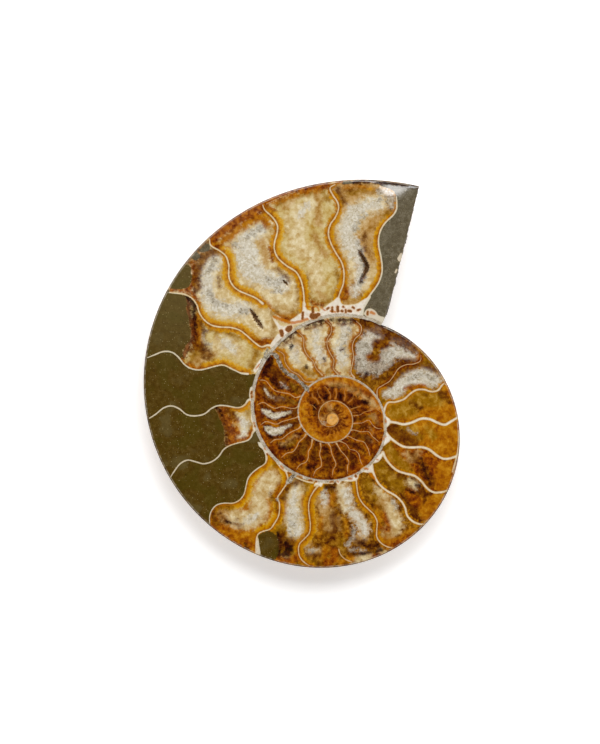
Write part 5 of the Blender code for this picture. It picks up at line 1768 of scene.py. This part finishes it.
def paintShell(paint):    # septa with their feet, the umbilical wall, worn shell and the small cells
    tree, mottle, grain = paint.tree, paint.mottle, paint.grain
    whorl, shellEdge = paint.field("whorl"), paint.field("shellEdge")
    colour = paint.tones(grain * 0.5 + mottle * 0.5, shellLook["fresh"])
    tint = (stepUp(whorl, 1.12, 1.24) * 0.75).atLeast(paint.field("stain") * 0.8)
    colour = over(tree, tint, colour, ink(*shellLook["stained"]))
    thick = paint.tones(grain * 0.5 + mottle * 0.5, shellLook["thick"])
    colour = over(tree, stepUp(shellEdge, 0.08, 0.3) * (1.0 - tint), colour, thick)
    colour = over(tree, paint.masks["silt"] * 0.6, colour, ink(*shellLook["overSilt"]))
    colour = over(tree, paint.inCore * 0.7, colour, ink(*shellLook["inCore"]))
    glow = stepUp(shellEdge, -0.45, -0.05) * stepUp(whorl, 1.36, 1.42) * stepUp(mottle, 0.4, 0.55)
    paint.tint(glow * 0.5, ink(*shellLook["glow"]))
    paint.layer(colour, shellEdge, 0.05, 0.12, 0.97)
    wall = paint.tones(grain * 0.6 + mottle * 0.4, shellLook["wall"])
    wall = over(tree, stepUp(whorl, 1.9, 2.2) * 0.85, wall, ink(*shellLook["innerWall"]))
    paint.layer(wall, paint.field("bandEdge"), 0.05, 0.12, 0.95)
    grey = paint.tones(grain * 0.5 + paint.crystal * 0.5, shellLook["grey"])
    paint.layer(grey, paint.field("greyShell"), 0.45, 0.25, 0.92)
    brownCell = paint.field("brownCell")
    paint.layer(ink(*shellLook["cellRim"]), brownCell + 0.18, 0.2, 0.25, 0.75)
    paint.layer(ink(*shellLook["orangeCell"]), paint.field("orangeCell") + 0.05, 0.2, 0.35, 0.85)
    paint.layer(paint.tones(grain, shellLook["brownCell"]), brownCell + 0.05, 0.2, 0.2, 0.92)


def paintRim(paint):    # the dark line along the venter, and the pits' painted shade; returns where the face is unpolished
    rim, pit = paint.field("rimDistance"), paint.field("pit")
    dark = stepUp(rim + paint.wobble * 0.12, 0.42, 0.22) * rimLook["lineShare"]
    paint.tint(dark, paint.tones(paint.mottle, rimLook["line"]))
    pale = stepUp(rim, 0.62, 0.5) * stepUp(rim, 0.3, 0.42) * stepUp(paint.wobble, -0.3, 0.3) * 0.6
    paint.tint(pale, ink(*rimLook["paleLine"]))
    # painted shade in the pits: their crystals' brown, laid on more fully the deeper the slit is
    paint.tint(stepUp(pit, 0.05, 0.5), paint.tones(paint.grain, rimLook["pit"]))
    return stepUp(pit, 0.02, 0.3).atLeast(stepUp(rim, 0.7, 0.45) * 0.9)


def buildFaceMaterial():
    material, tree, shader = newMaterial("polished_face")
    paint = FacePaint(tree)
    paintGrounds(paint)
    paintCore(paint)
    paintLining(paint)
    for name in overLining:
        paint.mineral(name)
    paintSilt(paint)
    paintShell(paint)
    worn = paintRim(paint)
    feed(tree, paint.colour, shader.inputs["Base Color"])
    silt = paint.masks["silt"]
    rough = silt * (polish["siltRoughness"] - polish["roughness"]) + polish["roughness"]
    rough = rough + (paint.mottle - 0.5) * 0.06 + worn * polish["pitRoughness"]
    feed(tree, rough, shader.inputs["Roughness"])
    addBump(tree, shader, paint.grain * 0.6 + silt * paint.grain, 0.05, 0.0001)
    return material


def buildFlankMaterial():
    material, tree, shader = newMaterial("shell_flank")
    place = placeInMm(tree)
    growth = nodeIn(tree, "ShaderNodeCombineXYZ", attribute(tree, "growthAcross"),
                    attribute(tree, "growthAround"))
    lines = noiseValue(tree, growth.outputs[0], perMm["growthLine"], 2.0)
    fine = noiseValue(tree, growth.outputs[0], perMm["fineGrowthLine"], 2.0)
    mottle = noiseValue(tree, place, perMm["shellMottle"], 5.0, 0.65)
    grain = noiseValue(tree, place, perMm["shellGrain"], 4.0, 0.7)
    colour = tonesOf(tree, mottle * 0.55 + lines * 0.3 + grain * 0.15, flankLook["shell"])
    rust = stepUp(noiseValue(tree, place, perMm["rustPatch"]), 0.54, 0.66)
    colour = over(tree, rust * 0.7, colour, tonesOf(tree, grain, flankLook["rust"]))
    silt = stepUp(attribute(tree, "whorl") + (mottle - 0.5) * 0.8, 1.45, 1.75)
    colour = over(tree, silt * 0.85, colour, tonesOf(tree, grain, flankLook["silt"]))
    feed(tree, colour, shader.inputs["Base Color"])
    feed(tree, (mottle - 0.5) * 0.3 + flankLook["roughness"] + silt * 0.25, shader.inputs["Roughness"])
    addBump(tree, shader, lines * 0.5 + fine * 0.3 + grain * 0.5, 0.5, 0.0004)
    return material


def buildBreakMaterial():
    material, tree, shader = newMaterial("broken_mouth")
    place = placeInMm(tree)
    mottle = noiseValue(tree, place, perMm["breakMottle"], 5.0, 0.65)
    grain = noiseValue(tree, place, perMm["breakGrain"], 4.0, 0.75)
    colour = tonesOf(tree, mottle * 0.5 + grain * 0.5, breakLook["stone"])
    colour = over(tree, stepUp(mottle, 0.56, 0.66) * 0.6, colour, ink(*breakLook["rust"]))
    feed(tree, colour, shader.inputs["Base Color"])
    shader.inputs["Roughness"].default_value = breakLook["roughness"]
    addBump(tree, shader, mottle * 0.6 + grain * 0.6, 0.8, 0.0006)
    return material


stone = buildStone([buildFaceMaterial(), buildFlankMaterial(), buildBreakMaterial()])
unwrapStone(stone)
carryPattern(stone)
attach(stone, "root")
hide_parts("ammonite")

# Floor, light and camera, in metres and watts
studio = {
    "floorSize": 3.0,
    "floorColour": (0.9, 0.9, 0.9, 1),
    "floorRoughness": 0.9,
    "floorGlow": 0.36,          # the floor is lit from below, which keeps the shadows thin
    "lamps": {                  # place, size, power
        "key": ((0.05, 0.42, 1.05), (0.42, 0.32), 6.0),
        "fill_left": ((-0.7, 0.75, 0.7), (0.6, 0.6), 2.52),
        "fill_right": ((0.8, 0.65, 0.7), (0.6, 0.6), 3.6),
    },
    "skyStrength": 1.0,
    "zenith": 0.03,             # a dark ceiling, so that the polished face doesn't mirror it
    "horizon": 0.86,
    "cameraHeight": 1.3,        # above the polished face
    "cameraPlace": (-0.0004, 0.0004),
    "sensor": 36,
    "pixelsPerMm": 4,
    "frameHeight": 744,         # pixels
}


def buildFloor():
    bpy.ops.mesh.primitive_plane_add(size=studio["floorSize"], location=(0, 0, 0))
    floor = bpy.context.object
    floor.name = "floor"
    table, _, shader = newMaterial("light_table")
    shader.inputs["Base Color"].default_value = studio["floorColour"]
    shader.inputs["Roughness"].default_value = studio["floorRoughness"]
    shader.inputs["Emission Color"].default_value = (1, 1, 1, 1)
    shader.inputs["Emission Strength"].default_value = studio["floorGlow"]
    floor.data.materials.append(table)


def buildLamp(name, place, size, power):
    light = bpy.data.lights.new(name, "AREA")
    light.shape = "RECTANGLE"
    light.size, light.size_y = size
    light.energy = power
    lamp = bpy.data.objects.new(name, light)
    lamp.location = place
    lamp.rotation_euler = (-Vector(place)).to_track_quat("-Z", "Y").to_euler()
    bpy.context.scene.collection.objects.link(lamp)


def buildSky():
    world = bpy.data.worlds.new("studio")
    world.use_nodes = True
    tree = world.node_tree
    background = tree.nodes["Background"]
    background.inputs["Strength"].default_value = studio["skyStrength"]
    upward = tree.nodes.new("ShaderNodeTexCoord").outputs["Generated"]
    height = Number(tree, nodeIn(tree, "ShaderNodeSeparateXYZ", upward).outputs["Z"])
    sky = stepUp(height, 0.92, 0.45) * (studio["horizon"] - studio["zenith"]) + studio["zenith"]
    feed(tree, sky, background.inputs["Color"])
    bpy.context.scene.world = world
    bpy.context.scene.view_settings.view_transform = "Standard"


def buildCamera():
    camera = bpy.data.cameras.new("camera")
    view = bpy.data.objects.new("camera", camera)
    camera.sensor_width = studio["sensor"]
    frameMm = studio["frameHeight"] / studio["pixelsPerMm"]
    camera.lens = studio["sensor"] * studio["cameraHeight"] / (frameMm * mm)
    view.location = (*studio["cameraPlace"], eye.z + studio["cameraHeight"])
    bpy.context.scene.collection.objects.link(view)
    bpy.context.scene.camera = view


buildFloor()
for name, (place, size, power) in studio["lamps"].items():
    buildLamp(name, place, size, power)
buildSky()
buildCamera()
print("floor, lamps and camera placed")
